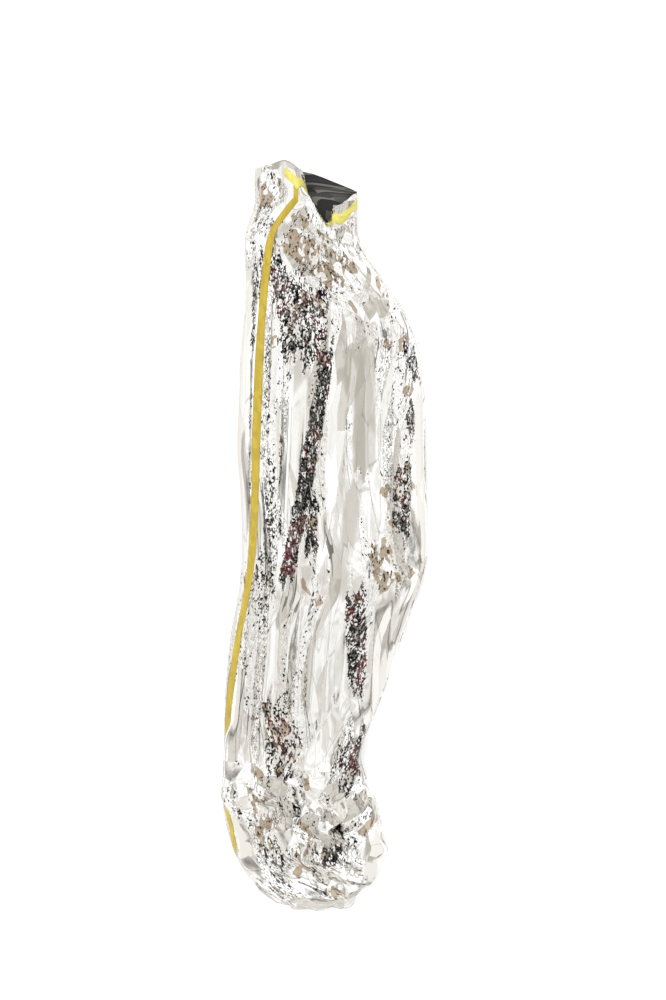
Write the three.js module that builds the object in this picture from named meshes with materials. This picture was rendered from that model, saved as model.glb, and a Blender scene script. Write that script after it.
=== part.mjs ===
// An emergency sleeping bag of metallised film, laid out on its back with its slack half turned under.
// Millimetres, +Z up, +Y towards the mouth; the bag lies on the surface z = 0.
import * as THREE from "three";

// Film and tape
const FILM = 1.6;
const TAPE = 0.7;
const TAPE_WIDTH = 20;
const CLEAR = 0.3;

// Heights between the middles of the film's layers, from the surface up
const UNDER_GAP = 4.6;
const BETWEEN_GAP = 5;
const FRONT_GAP = 4;

// Both ends lie a tape's thickness above the surface, and come down to it over this length
const END_LIFT = CLEAR + TAPE + 0.1;
const LIFT_REACH = 60;

// The turned-under half steps down to the surface over this width, left of its edge
const STEP_WIDTH = 24;
const STEP_CLEAR = 4;

// The hem of the mouth: its depth along the bag, the bare margin beyond its tape, and its bend when turned in
const HEM = 76;
const MARGIN = 18;
const BEND = 20;
const FULL_TURN = 0.9 * Math.PI;
// A hem that is turned in reaches no further than this into the bag
const HEM_ROOM = 34;
// Where the rim slants, the hem's tape and its margin are that much longer along the bag, up to these
const MOST_SLANT = 1.6;
const MOST_MARGIN_SLANT = 1.3;
// Left of this the front of the hem is bare
const NAPE = -98;
// Towards the foot of this the side seam is turned under with its tape
const SIDE_END = -735;

// The foot flattens to its seam over this length
const FOOT_RISE = 90;

// A slope is taken between two places this far either side
const PROBE = 4;

// The middle of the bag's box in these tables, which the whole bag is moved by
const CENTRE_X = 1.2;
const CENTRE_Y = 5.55;

// At a sharp bend a skin is pushed out at most 1 / MOST_MITRE times its distance
const MOST_MITRE = 0.7;

// Columns round the film and rows along it
const SEAM_LEFT = 4;
const SEAM_RIGHT = 29;
const UNDER_COLUMNS = 3;
const INNER_COLUMNS = 3;
const BACK_COLUMNS = [3, 3, 2];
const BODY_ROWS = 43;
const ROW_GROWTH = 1.08;
const BEND_STEPS = 24;
// Rows of the hem that carry the mouth's tape, counted from the row where the hem starts
const TAPE_ROWS = [4, 5];

// The bag's outline as it lies, from the foot to the mouth: its left and right edges, the middle of its
// taped seam, the crown of the front above the back, and the edge of the turned-under half.
const OUTLINE = [
  { y: -860, left: -92, right: 76, seam: -72, crown: 8, under: -56 },
  { y: -833, left: -117, right: 86, seam: -96, crown: 22, under: -76 },
  { y: -812, left: -146, right: 97, seam: -127, crown: 36, under: -94 },
  { y: -786, left: -166, right: 112, seam: -151, crown: 50, under: -106 },
  { y: -764, left: -184, right: 125, seam: -171, crown: 60, under: -116 },
  { y: -722, left: -207, right: 130, seam: -197, crown: 76, under: -126 },
  { y: -695, left: -216, right: 131, seam: -206, crown: 82, under: -132 },
  { y: -655, left: -227, right: 131, seam: -212, crown: 86, under: -136 },
  { y: -600, left: -234, right: 118, seam: -226, crown: 84, under: -140 },
  { y: -540, left: -231, right: 93, seam: -223, crown: 76, under: -142 },
  { y: -488, left: -231, right: 84, seam: -223, crown: 68, under: -142 },
  { y: -373, left: -229, right: 128, seam: -217, crown: 62, under: -138 },
  { y: -235, left: -217, right: 176, seam: -197, crown: 66, under: -128 },
  { y: -143, left: -200, right: 206, seam: -180, crown: 70, under: -118 },
  { y: -51, left: -190, right: 234, seam: -166, crown: 74, under: -112 },
  { y: 87, left: -192, right: 234, seam: -158, crown: 78, under: -112 },
  { y: 202, left: -201, right: 231, seam: -155, crown: 80, under: -115 },
  { y: 340, left: -196, right: 229, seam: -150, crown: 82, under: -115 },
  { y: 432, left: -192, right: 222, seam: -146, crown: 84, under: -112 },
  { y: 547, left: -182, right: 169, seam: -138, crown: 78, under: -105 },
  { y: 639, left: -182, right: 104, seam: -129, crown: 66, under: -100 },
  { y: 700, left: -182, right: 76, seam: -116, crown: 60, under: -98 },
  { y: 754, left: -164, right: 73, seam: -79, crown: 58, under: -92 },
  { y: 800, left: -155, right: 54, seam: -42, crown: 56, under: -88 },
  { y: 851, left: -153, right: 52, seam: -38, crown: 50, under: -86 },
];

// The line of the foot seam, by share of the width from the left edge
const FOOT = [
  { share: 0, y: -836 },
  { share: 0.16, y: -845 },
  { share: 0.45, y: -850 },
  { share: 0.72, y: -850 },
  { share: 0.88, y: -846 },
  { share: 1, y: -838 },
];

// The rim of the mouth across the bag, on the front and on the back, and how far the front's hem is
// turned: -1 lies folded in behind the front, 0 stands straight, 1 lies turned out
const MOUTH = [
  { x: -160, front: 846, back: 846, turn: 0 },
  { x: -125, front: 853, back: 850, turn: 0 },
  { x: -92, front: 862, back: 848, turn: 0 },
  { x: -70, front: 852, back: 845, turn: 0 },
  { x: -56, front: 840, back: 843, turn: 0 },
  { x: -46, front: 840, back: 841, turn: -0.22 },
  { x: -34, front: 844, back: 839, turn: -0.6 },
  { x: -20, front: 824, back: 835, turn: -0.9 },
  { x: -4, front: 796, back: 829, turn: -0.8 },
  { x: 8, front: 776, back: 824, turn: -0.45 },
  { x: 20, front: 758, back: 819, turn: 0 },
  { x: 38, front: 768, back: 812, turn: 0.08 },
  { x: 59, front: 786, back: 803, turn: 0.06 },
  { x: 78, front: 790, back: 795, turn: 0 },
];

// The front's main folds: each crest runs straight between two points, and falls away over its left and
// right widths, seen from the foot
const FOLDS = [
  { x0: -68, y0: -120, x1: 34, y1: 440, height: 26, left: 30, right: 52 },
  { x0: -92, y0: -80, x1: -70, y1: 425, height: 18, left: 22, right: 34 },
  { x0: 130, y0: -30, x1: 126, y1: 545, height: 16, left: 34, right: 30 },
  { x0: 178, y0: -60, x1: 196, y1: 500, height: 22, left: 30, right: 34 },
  { x0: 60, y0: -30, x1: 214, y1: -96, height: 20, left: 44, right: 34 },
  { x0: 104, y0: -380, x1: 112, y1: -96, height: 24, left: 34, right: 44 },
  { x0: -64, y0: -430, x1: -50, y1: -60, height: 18, left: 26, right: 34 },
  { x0: -10, y0: -490, x1: 20, y1: -90, height: 18, left: 34, right: 40 },
  { x0: -28, y0: -545, x1: 74, y1: -370, height: 22, left: 40, right: 44 },
  { x0: -200, y0: -500, x1: -168, y1: -130, height: 12, left: 20, right: 24 },
  { x0: -140, y0: -470, x1: -122, y1: -110, height: 16, left: 24, right: 26 },
  { x0: -60, y0: 735, x1: 104, y1: 565, height: 14, left: 24, right: 30 },
  { x0: -6, y0: 690, x1: 176, y1: 540, height: 14, left: 26, right: 26 },
  { x0: -100, y0: 640, x1: 26, y1: 500, height: 18, left: 28, right: 34 },
  { x0: 40, y0: 660, x1: 206, y1: 440, height: 14, left: 24, right: 24 },
  { x0: -166, y0: 120, x1: -160, y1: 560, height: 8, left: 14, right: 16 },
];

// The crumpled foot: four-sided peaks and hollows, each with its own reach and turn in degrees
const CRUMPLES = [
  { x: -176, y: -560, height: 20, reach: 46, turn: 20 },
  { x: -96, y: -545, height: 26, reach: 50, turn: 35 },
  { x: -20, y: -590, height: 26, reach: 46, turn: 10 },
  { x: 48, y: -610, height: 32, reach: 50, turn: 40 },
  { x: 92, y: -655, height: 26, reach: 40, turn: 15 },
  { x: -128, y: -625, height: -22, reach: 36, turn: 0 },
  { x: -66, y: -655, height: 30, reach: 44, turn: 28 },
  { x: 10, y: -668, height: -20, reach: 36, turn: 45 },
  { x: -186, y: -655, height: 18, reach: 36, turn: 10 },
  { x: -140, y: -720, height: 28, reach: 46, turn: 38 },
  { x: -60, y: -735, height: -16, reach: 36, turn: 20 },
  { x: 16, y: -728, height: 30, reach: 46, turn: 8 },
  { x: 84, y: -728, height: 22, reach: 40, turn: 30 },
  { x: -86, y: -790, height: 20, reach: 36, turn: 12 },
  { x: 0, y: -796, height: 16, reach: 34, turn: 40 },
  { x: 66, y: -786, height: 22, reach: 34, turn: 22 },
];

const TOP = OUTLINE[OUTLINE.length - 1].y;
const BOTTOM = OUTLINE[0].y;

const clamp01 = (value) => Math.min(1, Math.max(0, value));
const smooth01 = (value) => THREE.MathUtils.smoothstep(value, 0, 1);
const slopeOf = (height, at) => (height(at + PROBE) - height(at - PROBE)) / (2 * PROBE);

// Slope of a table's column at one of its rows.
function slopeAt(table, key, column, row) {
  const a = table[Math.max(0, row - 1)];
  const b = table[Math.min(table.length - 1, row + 1)];
  return (b[column] - a[column]) / (b[key] - a[key]);
}

// A smooth curve through a table's rows: the value of one column at a place along another.
function along(table, key, column, at) {
  let row = 0;
  while (row < table.length - 2 && table[row + 1][key] < at) row += 1;
  const a = table[row];
  const b = table[row + 1];
  const step = b[key] - a[key];
  const t = clamp01((at - a[key]) / step);
  const leave = step * slopeAt(table, key, column, row);
  const arrive = step * slopeAt(table, key, column, row + 1);
  const rise = b[column] - a[column];
  return a[column] + t * (leave + t * (3 * rise - 2 * leave - arrive + t * (leave + arrive - 2 * rise)));
}

const edge = (column, y) => along(OUTLINE, "y", column, y);

// Share of the bag's width at a place: 0 at its left edge and 1 at its right.
const shareOf = (x, y) => clamp01((x - edge("left", y)) / (edge("right", y) - edge("left", y)));

// Middle of the film that lies on the surface, lifted a little at its taped ends.
function floorHeight(x, y) {
  const share = shareOf(x, y);
  const fromFoot = y - along(FOOT, "share", "y", share) - 2 * TAPE_WIDTH;
  const fromMouth = along(MOUTH, "x", "back", x) - HEM - y;
  return FILM / 2 + END_LIFT * (1 - smooth01(Math.min(fromFoot, fromMouth) / LIFT_REACH));
}

// Middle of the back, which lies on the turned-under half and steps down to the surface left of it.
function backHeight(x, y) {
  const down = (stepTop(y) - x) / STEP_WIDTH;
  return floorHeight(x, y) + (UNDER_GAP + BETWEEN_GAP) * (1 - smooth01(down));
}

// Height of a fold over a place: a straight crest that runs out over a quarter of its length at each end.
function foldHeight(fold, x, y) {
  const length = Math.hypot(fold.x1 - fold.x0, fold.y1 - fold.y0);
  const dx = (fold.x1 - fold.x0) / length;
  const dy = (fold.y1 - fold.y0) / length;
  const forward = (x - fold.x0) * dx + (y - fold.y0) * dy;
  const aside = (x - fold.x0) * dy - (y - fold.y0) * dx;
  const across = clamp01(1 - Math.abs(aside) / (aside < 0 ? fold.left : fold.right));
  const ends = clamp01((4 * forward) / length) * clamp01((4 * (length - forward)) / length);
  return fold.height * across * ends;
}

// Height of a four-sided peak or hollow over a place.
function crumpleHeight(crumple, x, y) {
  const turn = THREE.MathUtils.degToRad(crumple.turn);
  const dx = x - crumple.x;
  const dy = y - crumple.y;
  const u = dx * Math.cos(turn) + dy * Math.sin(turn);
  const v = dy * Math.cos(turn) - dx * Math.sin(turn);
  return crumple.height * clamp01(1 - Math.max(Math.abs(u), Math.abs(v)) / crumple.reach);
}

// Middle of the front: it rises steeply from both edges to its crown, and carries the folds and crumples.
function frontHeight(x, y) {
  const share = shareOf(x, y);
  const rise = Math.sqrt(1 - Math.abs(2 * share - 1) ** 2.6);
  const open = smooth01((y - along(FOOT, "share", "y", share)) / FOOT_RISE);
  const folds = FOLDS.reduce((sum, fold) => sum + foldHeight(fold, x, y), 0);
  const crumples = CRUMPLES.reduce((sum, crumple) => sum + crumpleHeight(crumple, x, y), 0);
  return backHeight(x, y) + FRONT_GAP + rise * open * (edge("crown", y) + folds + crumples);
}

// Left and right limits of the front's layer, inside the round turns at its edges.
const RIGHT_TURN = (FRONT_GAP + BETWEEN_GAP + UNDER_GAP) / 2;
const leftOf = (y) => edge("left", y) + FRONT_GAP / 2;
const rightOf = (y) => edge("right", y) - RIGHT_TURN;
const underLeft = (y) => edge("under", y) + UNDER_GAP / 2;

// The step in the back, from its top on the turned-under half to its foot on the surface.
const stepTop = (y) => edge("under", y) - STEP_CLEAR;
const stepFoot = (y) => stepTop(y) - STEP_WIDTH;

// Half the seam tape's width in plan, less where the film under it is steep.
function tapeHalf(y) {
  const steep = slopeOf((x) => frontHeight(x, y), edge("seam", y));
  return TAPE_WIDTH / 2 / Math.hypot(1, steep);
}

// A column of the film: which side it is on, and its place across the bag at a distance along it.
const column = (side, at) => ({ side, at });

function frontColumns() {
  const front = (placeX) =>
    column("front", (y) => {
      const x = placeX(y);
      return [x, frontHeight(x, y)];
    });
  const tapeLeft = (y) => edge("seam", y) - tapeHalf(y);
  const tapeRight = (y) => edge("seam", y) + tapeHalf(y);
  const columns = [];
  for (let i = 0; i < SEAM_LEFT; i += 1) {
    const share = (i / SEAM_LEFT) ** 1.3;
    columns.push(front((y) => THREE.MathUtils.lerp(leftOf(y), tapeLeft(y), share)));
  }
  columns.push(front(tapeLeft), front((y) => edge("seam", y)));
  for (let i = 0; i <= SEAM_RIGHT; i += 1) {
    const share = 1 - (1 - i / SEAM_RIGHT) ** 1.15;
    columns.push(front((y) => THREE.MathUtils.lerp(tapeRight(y), rightOf(y), share)));
  }
  return columns;
}

// Columns in a layer between two edges, both included.
function layerColumns(side, height, from, to, steps) {
  const columns = [];
  for (let i = 0; i <= steps; i += 1)
    columns.push(
      column(side, (y) => {
        const x = THREE.MathUtils.lerp(from(y), to(y), i / steps);
        return [x, height(x, y)];
      }),
    );
  return columns;
}

// Columns round half a circle between two layers, without its ends: "right" bulges to the right.
function turnColumns(side, centre, radius, bulge, downwards, steps) {
  const columns = [];
  for (let i = 1; i < steps; i += 1) {
    const angle = Math.PI * (i / steps - 0.5) * (downwards ? -1 : 1);
    const dx = radius * Math.cos(angle) * (bulge === "right" ? 1 : -1);
    const dz = radius * Math.sin(angle);
    columns.push(
      column(side, (y) => {
        const [x, z] = centre(y);
        return [x + dx, z + dz];
      }),
    );
  }
  return columns;
}

// The film's whole section, clockwise from its left edge: the front, the turn at the right, the
// turned-under half's lower and upper layers, and the back.
function filmColumns() {
  const upper = (x, y) => floorHeight(x, y) + UNDER_GAP;
  const rightCentre = (y) => [rightOf(y), floorHeight(rightOf(y), y) + RIGHT_TURN];
  const foldCentre = (y) => [underLeft(y), floorHeight(underLeft(y), y) + UNDER_GAP / 2];
  const innerCentre = (y) => [rightOf(y), upper(rightOf(y), y) + BETWEEN_GAP / 2];
  const leftCentre = (y) => [leftOf(y), floorHeight(leftOf(y), y) + FRONT_GAP / 2];
  return [
    ...frontColumns(),
    ...turnColumns("turn", rightCentre, RIGHT_TURN, "right", true, 4),
    ...layerColumns("floor", floorHeight, rightOf, underLeft, UNDER_COLUMNS),
    ...turnColumns("fold", foldCentre, UNDER_GAP / 2, "left", false, 2),
    ...layerColumns("back", upper, underLeft, rightOf, INNER_COLUMNS),
    ...turnColumns("back", innerCentre, BETWEEN_GAP / 2, "right", false, 2),
    ...layerColumns("back", backHeight, rightOf, stepTop, BACK_COLUMNS[0]),
    ...layerColumns("back", backHeight, stepTop, stepFoot, BACK_COLUMNS[1]).slice(1),
    ...layerColumns("back", backHeight, stepFoot, leftOf, BACK_COLUMNS[2]).slice(1),
    ...turnColumns("back", leftCentre, FRONT_GAP / 2, "left", false, 2),
  ];
}

// The distance along the bag at which a column meets a line across it, between two distances.
function meet(line, low, high) {
  const middle = (low + high) / 2;
  if (high - low < 0.01) return middle;
  return line(middle) > middle ? meet(line, middle, high) : meet(line, low, middle);
}

// Where each column starts at the foot and where its hem starts, and how the hem is turned there.
function columnEnds(columns) {
  const middleY = (TOP + BOTTOM) / 2;
  return columns.map(({ side, at }) => {
    const rim = side === "front" ? "front" : "back";
    const foot = meet((y) => along(FOOT, "share", "y", shareOf(at(y)[0], y)), BOTTOM, middleY);
    const hem = meet((y) => along(MOUTH, "x", rim, at(y)[0]) - HEM, middleY, TOP);
    const x = at(hem)[0];
    const rise = slopeOf((place) => along(MOUTH, "x", rim, place), x);
    const turned = { front: 1, turn: 0.5, floor: 0, fold: 0, back: 0 }[side];
    return {
      foot,
      hem,
      slant: Math.min(MOST_SLANT, Math.hypot(1, rise)),
      turn: turned * along(MOUTH, "x", "turn", x),
    };
  });
}

// Places down the hem, as distances along and out of the film: round its bend, then its tape's lower and
// upper edges and the rim.
function hemPath({ turn, slant }) {
  const upper = HEM - MARGIN * Math.min(slant, MOST_MARGIN_SLANT);
  const lower = upper - TAPE_WIDTH * slant;
  const stops = [BEND / 3, (2 * BEND) / 3, BEND, lower, upper, HEM];
  return stops.map((stop) => {
    const step = stop / BEND_STEPS;
    let forward = 0;
    let out = 0;
    for (let i = 0; i < BEND_STEPS; i += 1) {
      const angle = turn * FULL_TURN * clamp01((step * (i + 0.5)) / BEND);
      forward += step * Math.cos(angle);
      out += step * Math.sin(angle);
    }
    return [forward, out < 0 ? HEM_ROOM * Math.tanh(out / HEM_ROOM) : out];
  });
}

// The middle of the film as rows of points, from the foot seam to the rim of the mouth.
function filmRows(columns) {
  const ends = columnEnds(columns);
  const rows = [];
  for (let j = 0; j <= BODY_ROWS; j += 1)
    rows.push(
      columns.map(({ at }, i) => {
        const { foot, hem } = ends[i];
        const beyond = j < 1 ? 0 : ((j - 1) / (BODY_ROWS - 1)) ** ROW_GROWTH;
        const start = j < 1 ? foot : foot + TAPE_WIDTH;
        const y = THREE.MathUtils.lerp(start, hem, beyond);
        const [x, z] = at(y);
        return new THREE.Vector3(x, y, z);
      }),
    );
  const last = rows[BODY_ROWS];
  const outward = last.map((point, i) => {
    const before = last[(i + last.length - 1) % last.length];
    const after = last[(i + 1) % last.length];
    return new THREE.Vector3(before.z - after.z, 0, after.x - before.x).normalize();
  });
  const paths = ends.map(hemPath);
  for (let k = 0; k < paths[0].length; k += 1)
    rows.push(
      last.map((point, i) => {
        const [forward, out] = paths[i][k];
        return point.clone().addScaledVector(outward[i], out).add(new THREE.Vector3(0, forward, 0));
      }),
    );
  return rows;
}

// Directions out of the bag at rows of points that close on themselves: at each point the mean of the
// corners of the patches that meet there, longer where they bend, so that a skin keeps its thickness.
function normalsOf(rows) {
  const count = rows[0].length;
  return rows.map((row, j) =>
    row.map((point, i) => {
      const towards = (other) => other.clone().sub(point);
      const right = towards(row[(i + 1) % count]);
      const left = towards(row[(i + count - 1) % count]);
      const corners = [];
      if (j + 1 < rows.length) {
        const up = towards(rows[j + 1][i]);
        corners.push([right, up], [up, left]);
      }
      if (j > 0) {
        const down = towards(rows[j - 1][i]);
        corners.push([left, down], [down, right]);
      }
      const faces = corners.map(([a, b]) => new THREE.Vector3().crossVectors(a, b).normalize());
      const mean = faces.reduce((sum, face) => sum.add(face), new THREE.Vector3()).normalize();
      const lean = faces.reduce((sum, face) => sum + face.dot(mean), 0) / faces.length;
      return mean.divideScalar(Math.max(MOST_MITRE, lean));
    }),
  );
}

// Triangles across the end of the bag, between the section's run out to the fold of the turned-under half
// and its run back: each next rung is the shorter of the two that could follow.
function ladderAcross(row, fold) {
  const indices = row.map((point, i) => i);
  const out = indices.slice(0, fold);
  const back = indices.slice(fold + 1, -1).reverse();
  const rung = (i, j) =>
    i < out.length && j < back.length ? row[out[i]].distanceTo(row[back[j]]) : Infinity;
  const ladder = [[out[0], row.length - 1, back[0]]];
  let i = 0;
  let j = 0;
  while (i < out.length - 1 || j < back.length - 1) {
    if (rung(i + 1, j) <= rung(i, j + 1)) {
      ladder.push([out[i + 1], out[i], back[j]]);
      i += 1;
    } else {
      ladder.push([back[j], back[j + 1], out[i]]);
      j += 1;
    }
  }
  ladder.push([fold, out[i], back[j]]);
  return ladder;
}

// A closed surface made of strips and caps, as an indexed geometry.
class Surface {
  points = [];
  index = [];

  row(points) {
    const first = this.points.length;
    this.points.push(...points);
    return points.map((point, i) => first + i);
  }

  // Two triangles between each pair of neighbours in two rows, cut from the lower left where rises says so.
  strip(lower, upper, rises, closed = true) {
    const count = closed ? lower.length : lower.length - 1;
    for (let i = 0; i < count; i += 1) {
      const k = (i + 1) % lower.length;
      if (rises[i]) this.index.push(lower[i], lower[k], upper[k], lower[i], upper[k], upper[i]);
      else this.index.push(lower[i], lower[k], upper[i], lower[k], upper[k], upper[i]);
    }
  }

  // The same cut as strip, with the faces turned over.
  backStrip(lower, upper, rises, closed = true) {
    const first = this.index.length;
    this.strip(lower, upper, rises, closed);
    this.turnOver(first);
  }

  turnOver(first) {
    for (let i = first; i < this.index.length; i += 3)
      [this.index[i + 1], this.index[i + 2]] = [this.index[i + 2], this.index[i + 1]];
  }

  // A cap over one row, in the triangles of a ladder.
  cap(row, ladder) {
    for (const [a, b, c] of ladder) this.index.push(row[a], row[b], row[c]);
  }

  backCap(row, ladder) {
    const first = this.index.length;
    this.cap(row, ladder);
    this.turnOver(first);
  }

  geometry() {
    const made = new THREE.BufferGeometry().setFromPoints(this.points);
    made.setIndex(this.index);
    made.computeVertexNormals();
    return made;
  }
}

const columns = filmColumns();
const fold = columns.findIndex(({ side }) => side === "fold");
const rows = filmRows(columns);
const normals = normalsOf(rows);

// Which way each four-sided patch of the film is cut: along the shorter of its two diagonals.
const cuts = rows.slice(1).map((upper, j) =>
  upper.map((point, i) => {
    const k = (i + 1) % upper.length;
    return rows[j][i].distanceTo(upper[k]) < rows[j][k].distanceTo(point);
  }),
);
const EVEN = columns.map(() => true);
const footLadder = ladderAcross(rows[0], fold);

// The film's row at a distance out from its middle.
const skin = (j, distance) =>
  rows[j].map((point, i) => point.clone().addScaledVector(normals[j][i], distance));

// Along the bag, how much further apart two lines beside the foot seam lie than straight across it.
const footSlant = rows[0].map(({ x, y }) =>
  Math.hypot(1, slopeOf((place) => along(FOOT, "share", "y", shareOf(place, y)), x)),
);

const pushed = (row, distance) =>
  row.map((point, i) => point.clone().sub(new THREE.Vector3(0, distance * footSlant[i], 0)));

function part(name, geometry, color, metalness, roughness) {
  const mesh = new THREE.Mesh(geometry, new THREE.MeshStandardMaterial({ color, metalness, roughness }));
  mesh.name = name;
  return mesh;
}

// The film: an outer and an inner skin, joined round the rim, with the foot closed.
function filmGeometry() {
  const surface = new Surface();
  const outer = rows.map((row, j) => surface.row(skin(j, FILM / 2)));
  const inner = rows.map((row, j) => surface.row(j ? skin(j, -FILM / 2) : pushed(skin(0, -FILM / 2), -FILM)));
  for (let j = 0; j + 1 < rows.length; j += 1) {
    surface.strip(outer[j], outer[j + 1], cuts[j]);
    surface.backStrip(inner[j], inner[j + 1], cuts[j]);
  }
  surface.strip(outer[rows.length - 1], inner[rows.length - 1], EVEN);
  surface.cap(outer[0], footLadder);
  surface.backCap(inner[0], footLadder);
  return surface.geometry();
}

// Distances of the tapes' two faces from the middle of the film
const TAPE_INNER = FILM / 2 + CLEAR;
const TAPE_OUTER = TAPE_INNER + TAPE;

// A band of tape across the bag, between two rows and two columns of the film.
function bandGeometry(low, high, from, to) {
  const surface = new Surface();
  const band = (j, distance) => surface.row(skin(j, distance).slice(from, to));
  const [outerLow, outerHigh] = [band(low, TAPE_OUTER), band(high, TAPE_OUTER)];
  const [innerLow, innerHigh] = [band(low, TAPE_INNER), band(high, TAPE_INNER)];
  const last = outerLow.length - 1;
  const cut = cuts[low].slice(from, to);
  surface.strip(outerLow, outerHigh, cut, false);
  surface.backStrip(innerLow, innerHigh, cut, false);
  surface.strip(outerHigh, innerHigh, EVEN, false);
  surface.strip(innerLow, outerLow, EVEN, false);
  surface.strip([outerLow[0], outerHigh[0]], [innerLow[0], innerHigh[0]], EVEN, false);
  surface.strip([innerLow[last], innerHigh[last]], [outerLow[last], outerHigh[last]], EVEN, false);
  return surface.geometry();
}

// The mouth's tape: a band round the outside of the hem, from the nape round to the bag's left edge.
function mouthTapeGeometry() {
  const [low, high] = TAPE_ROWS.map((row) => BODY_ROWS + row);
  const from = rows[low].findIndex(({ x }) => x > NAPE);
  return bandGeometry(low, high, from, columns.length);
}

// The foot's tape: a band along the foot seam, on the side that lies on the surface.
function footTapeGeometry() {
  const from = columns.findIndex(({ side }) => side === "floor");
  return bandGeometry(0, 1, from, from + UNDER_COLUMNS + 1);
}

// The seam's tape: a strip along the front, from where the seam is turned under to the mouth's tape.
function sideTapeGeometry() {
  const surface = new Surface();
  const strip = (row) => row.slice(SEAM_LEFT, SEAM_LEFT + 3);
  const first = rows.findIndex((row) => row[SEAM_LEFT + 1].y > SIDE_END);
  const last = BODY_ROWS + TAPE_ROWS[0];
  const place = (j, distance) => {
    const here = strip(skin(j, distance));
    if (j !== last) return here;
    const next = strip(skin(j - 1, distance));
    return here.map((point, i) => point.lerp(next[i], (2 * CLEAR) / point.distanceTo(next[i])));
  };
  const outer = [];
  const inner = [];
  for (let j = first; j <= last; j += 1) {
    outer.push(surface.row(place(j, TAPE_OUTER)));
    inner.push(surface.row(place(j, TAPE_INNER)));
  }
  const tall = outer.map(() => true);
  for (let j = 0; j < last - first; j += 1) {
    const cut = strip(cuts[j + first]);
    surface.strip(outer[j], outer[j + 1], cut, false);
    surface.backStrip(inner[j], inner[j + 1], cut, false);
  }
  surface.strip(outer[last - first], inner[last - first], EVEN, false);
  surface.strip(inner[0], outer[0], EVEN, false);
  const side = (run, i) => run.map((row) => row[i]);
  surface.strip(side(outer, 0), side(inner, 0), tall, false);
  surface.strip(side(inner, 2), side(outer, 2), tall, false);
  return surface.geometry();
}

const YELLOW = { side: 0xc9ae3a, mouth: 0xe6da6c, foot: 0xcdb95d };

const bag = new THREE.Group();
bag.position.set(-CENTRE_X, -CENTRE_Y, 0);
bag.add(part("bag_film", filmGeometry(), 0xdcdad5, 1, 0.16));
bag.add(part("side_tape", sideTapeGeometry(), YELLOW.side, 0, 0.4));
bag.add(part("mouth_tape", mouthTapeGeometry(), YELLOW.mouth, 0, 0.4));
bag.add(part("foot_tape", footTapeGeometry(), YELLOW.foot, 0, 0.4));

export default bag;
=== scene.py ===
"""A foil emergency sleeping bag laid out on its back, with its slack half turned under.

The tables hold millimetres in the bag's own plan, +Y towards its mouth. MM and CENTRE take them to the
frame's metres. The bag lies on the surface z = 0, and the camera looks straight down on it.
"""

import functools
import math
import random
from collections import namedtuple

import bpy
import numpy as np
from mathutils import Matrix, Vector
from mathutils.bvhtree import BVHTree
from mathutils.geometry import delaunay_2d_cdt


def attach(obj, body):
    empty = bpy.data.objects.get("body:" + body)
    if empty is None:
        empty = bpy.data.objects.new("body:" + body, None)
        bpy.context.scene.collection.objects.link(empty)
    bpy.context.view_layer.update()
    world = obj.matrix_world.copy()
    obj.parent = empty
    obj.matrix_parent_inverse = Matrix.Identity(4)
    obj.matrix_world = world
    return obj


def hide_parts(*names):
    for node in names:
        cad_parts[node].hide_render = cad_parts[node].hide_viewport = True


bl_info = {
    "name": "Foil sleeping bag",
    "version": (1, 0, 0),
    "blender": (4, 5, 0),
    "location": "3D View > Sidebar > Foil Bag",
    "description": "Builds a crinkled foil sleeping bag, its yellow tapes and a plain studio",
    "category": "Add Mesh",
}

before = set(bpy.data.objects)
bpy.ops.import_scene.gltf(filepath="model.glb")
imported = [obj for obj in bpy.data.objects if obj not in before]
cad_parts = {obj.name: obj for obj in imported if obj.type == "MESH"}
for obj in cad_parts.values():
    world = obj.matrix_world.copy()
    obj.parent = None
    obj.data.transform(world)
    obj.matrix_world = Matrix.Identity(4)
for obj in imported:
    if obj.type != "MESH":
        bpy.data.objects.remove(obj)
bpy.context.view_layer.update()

MM = 0.001
# The middle of the bag's box in the tables, which everything is moved by
CENTRE = (1.2, 5.55)

# Heights between the middles of the film's layers, from the surface up
HALF_FILM = 0.8
UNDER_GAP = 4.6
BETWEEN_GAP = 5.0
FRONT_GAP = 4.0
RIGHT_TURN = (FRONT_GAP + BETWEEN_GAP + UNDER_GAP) / 2

# Both ends lie a tape's thickness above the surface, and come down to it over this length
END_LIFT = 1.1
LIFT_REACH = 60

# The turned-under half steps down to the surface over this width, left of its edge
STEP_WIDTH = 24
STEP_CLEAR = 4

# The hem of the mouth: its depth, the bare margin beyond its tape, how it bends when it is turned, and
# the room behind the front that it keeps to
TAPE_WIDTH = 20
HEM = 76
MARGIN = 18
BEND = 20
FULL_TURN = 0.9 * math.pi
HEM_ROOM = 34
# How much the hem's tape and margin widen at most where the rim runs aslant
MOST_SLANT = 1.6
MOST_MARGIN_SLANT = 1.3
# The front's hem bears no tape left of the nape, and beyond its end the side tape is turned under
NAPE = -98
SIDE_END = -735
# The front reaches its full height this far from the foot seam
FOOT_RISE = 90
# Slopes are measured this far to either side
PROBE = 4

# The shown film and tapes, as distances out from the middle of the film
FILM_OUT = 0.45
TAPE_OUT = 0.85

# Columns round the film and rows along it, and how much closer the front's columns lie at its edges
LEFT_COLUMNS = 8
SEAM_COLUMNS = 4
RIGHT_COLUMNS = 104
LEFT_CROWDING = 1.3
RIGHT_CROWDING = 1.15
TURN_COLUMNS = 6
FOLD_COLUMNS = 2
UNDER_COLUMNS = 7
STEP_COLUMNS = 4
FOOT_ROWS = 4
BODY_ROWS = 294
BEND_ROWS = 5
LOW_ROWS = 4
BAND_ROWS = 4
MARGIN_ROWS = 4
BEND_STEPS = 24
# How closely a column's end is found
MEET_ERROR = 0.01

# The row at the lower edge of the mouth's tape
LOWER_BAND = FOOT_ROWS + BODY_ROWS + BEND_ROWS + LOW_ROWS


def table(kind, *rows):
    return [kind(*row) for row in rows]


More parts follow.
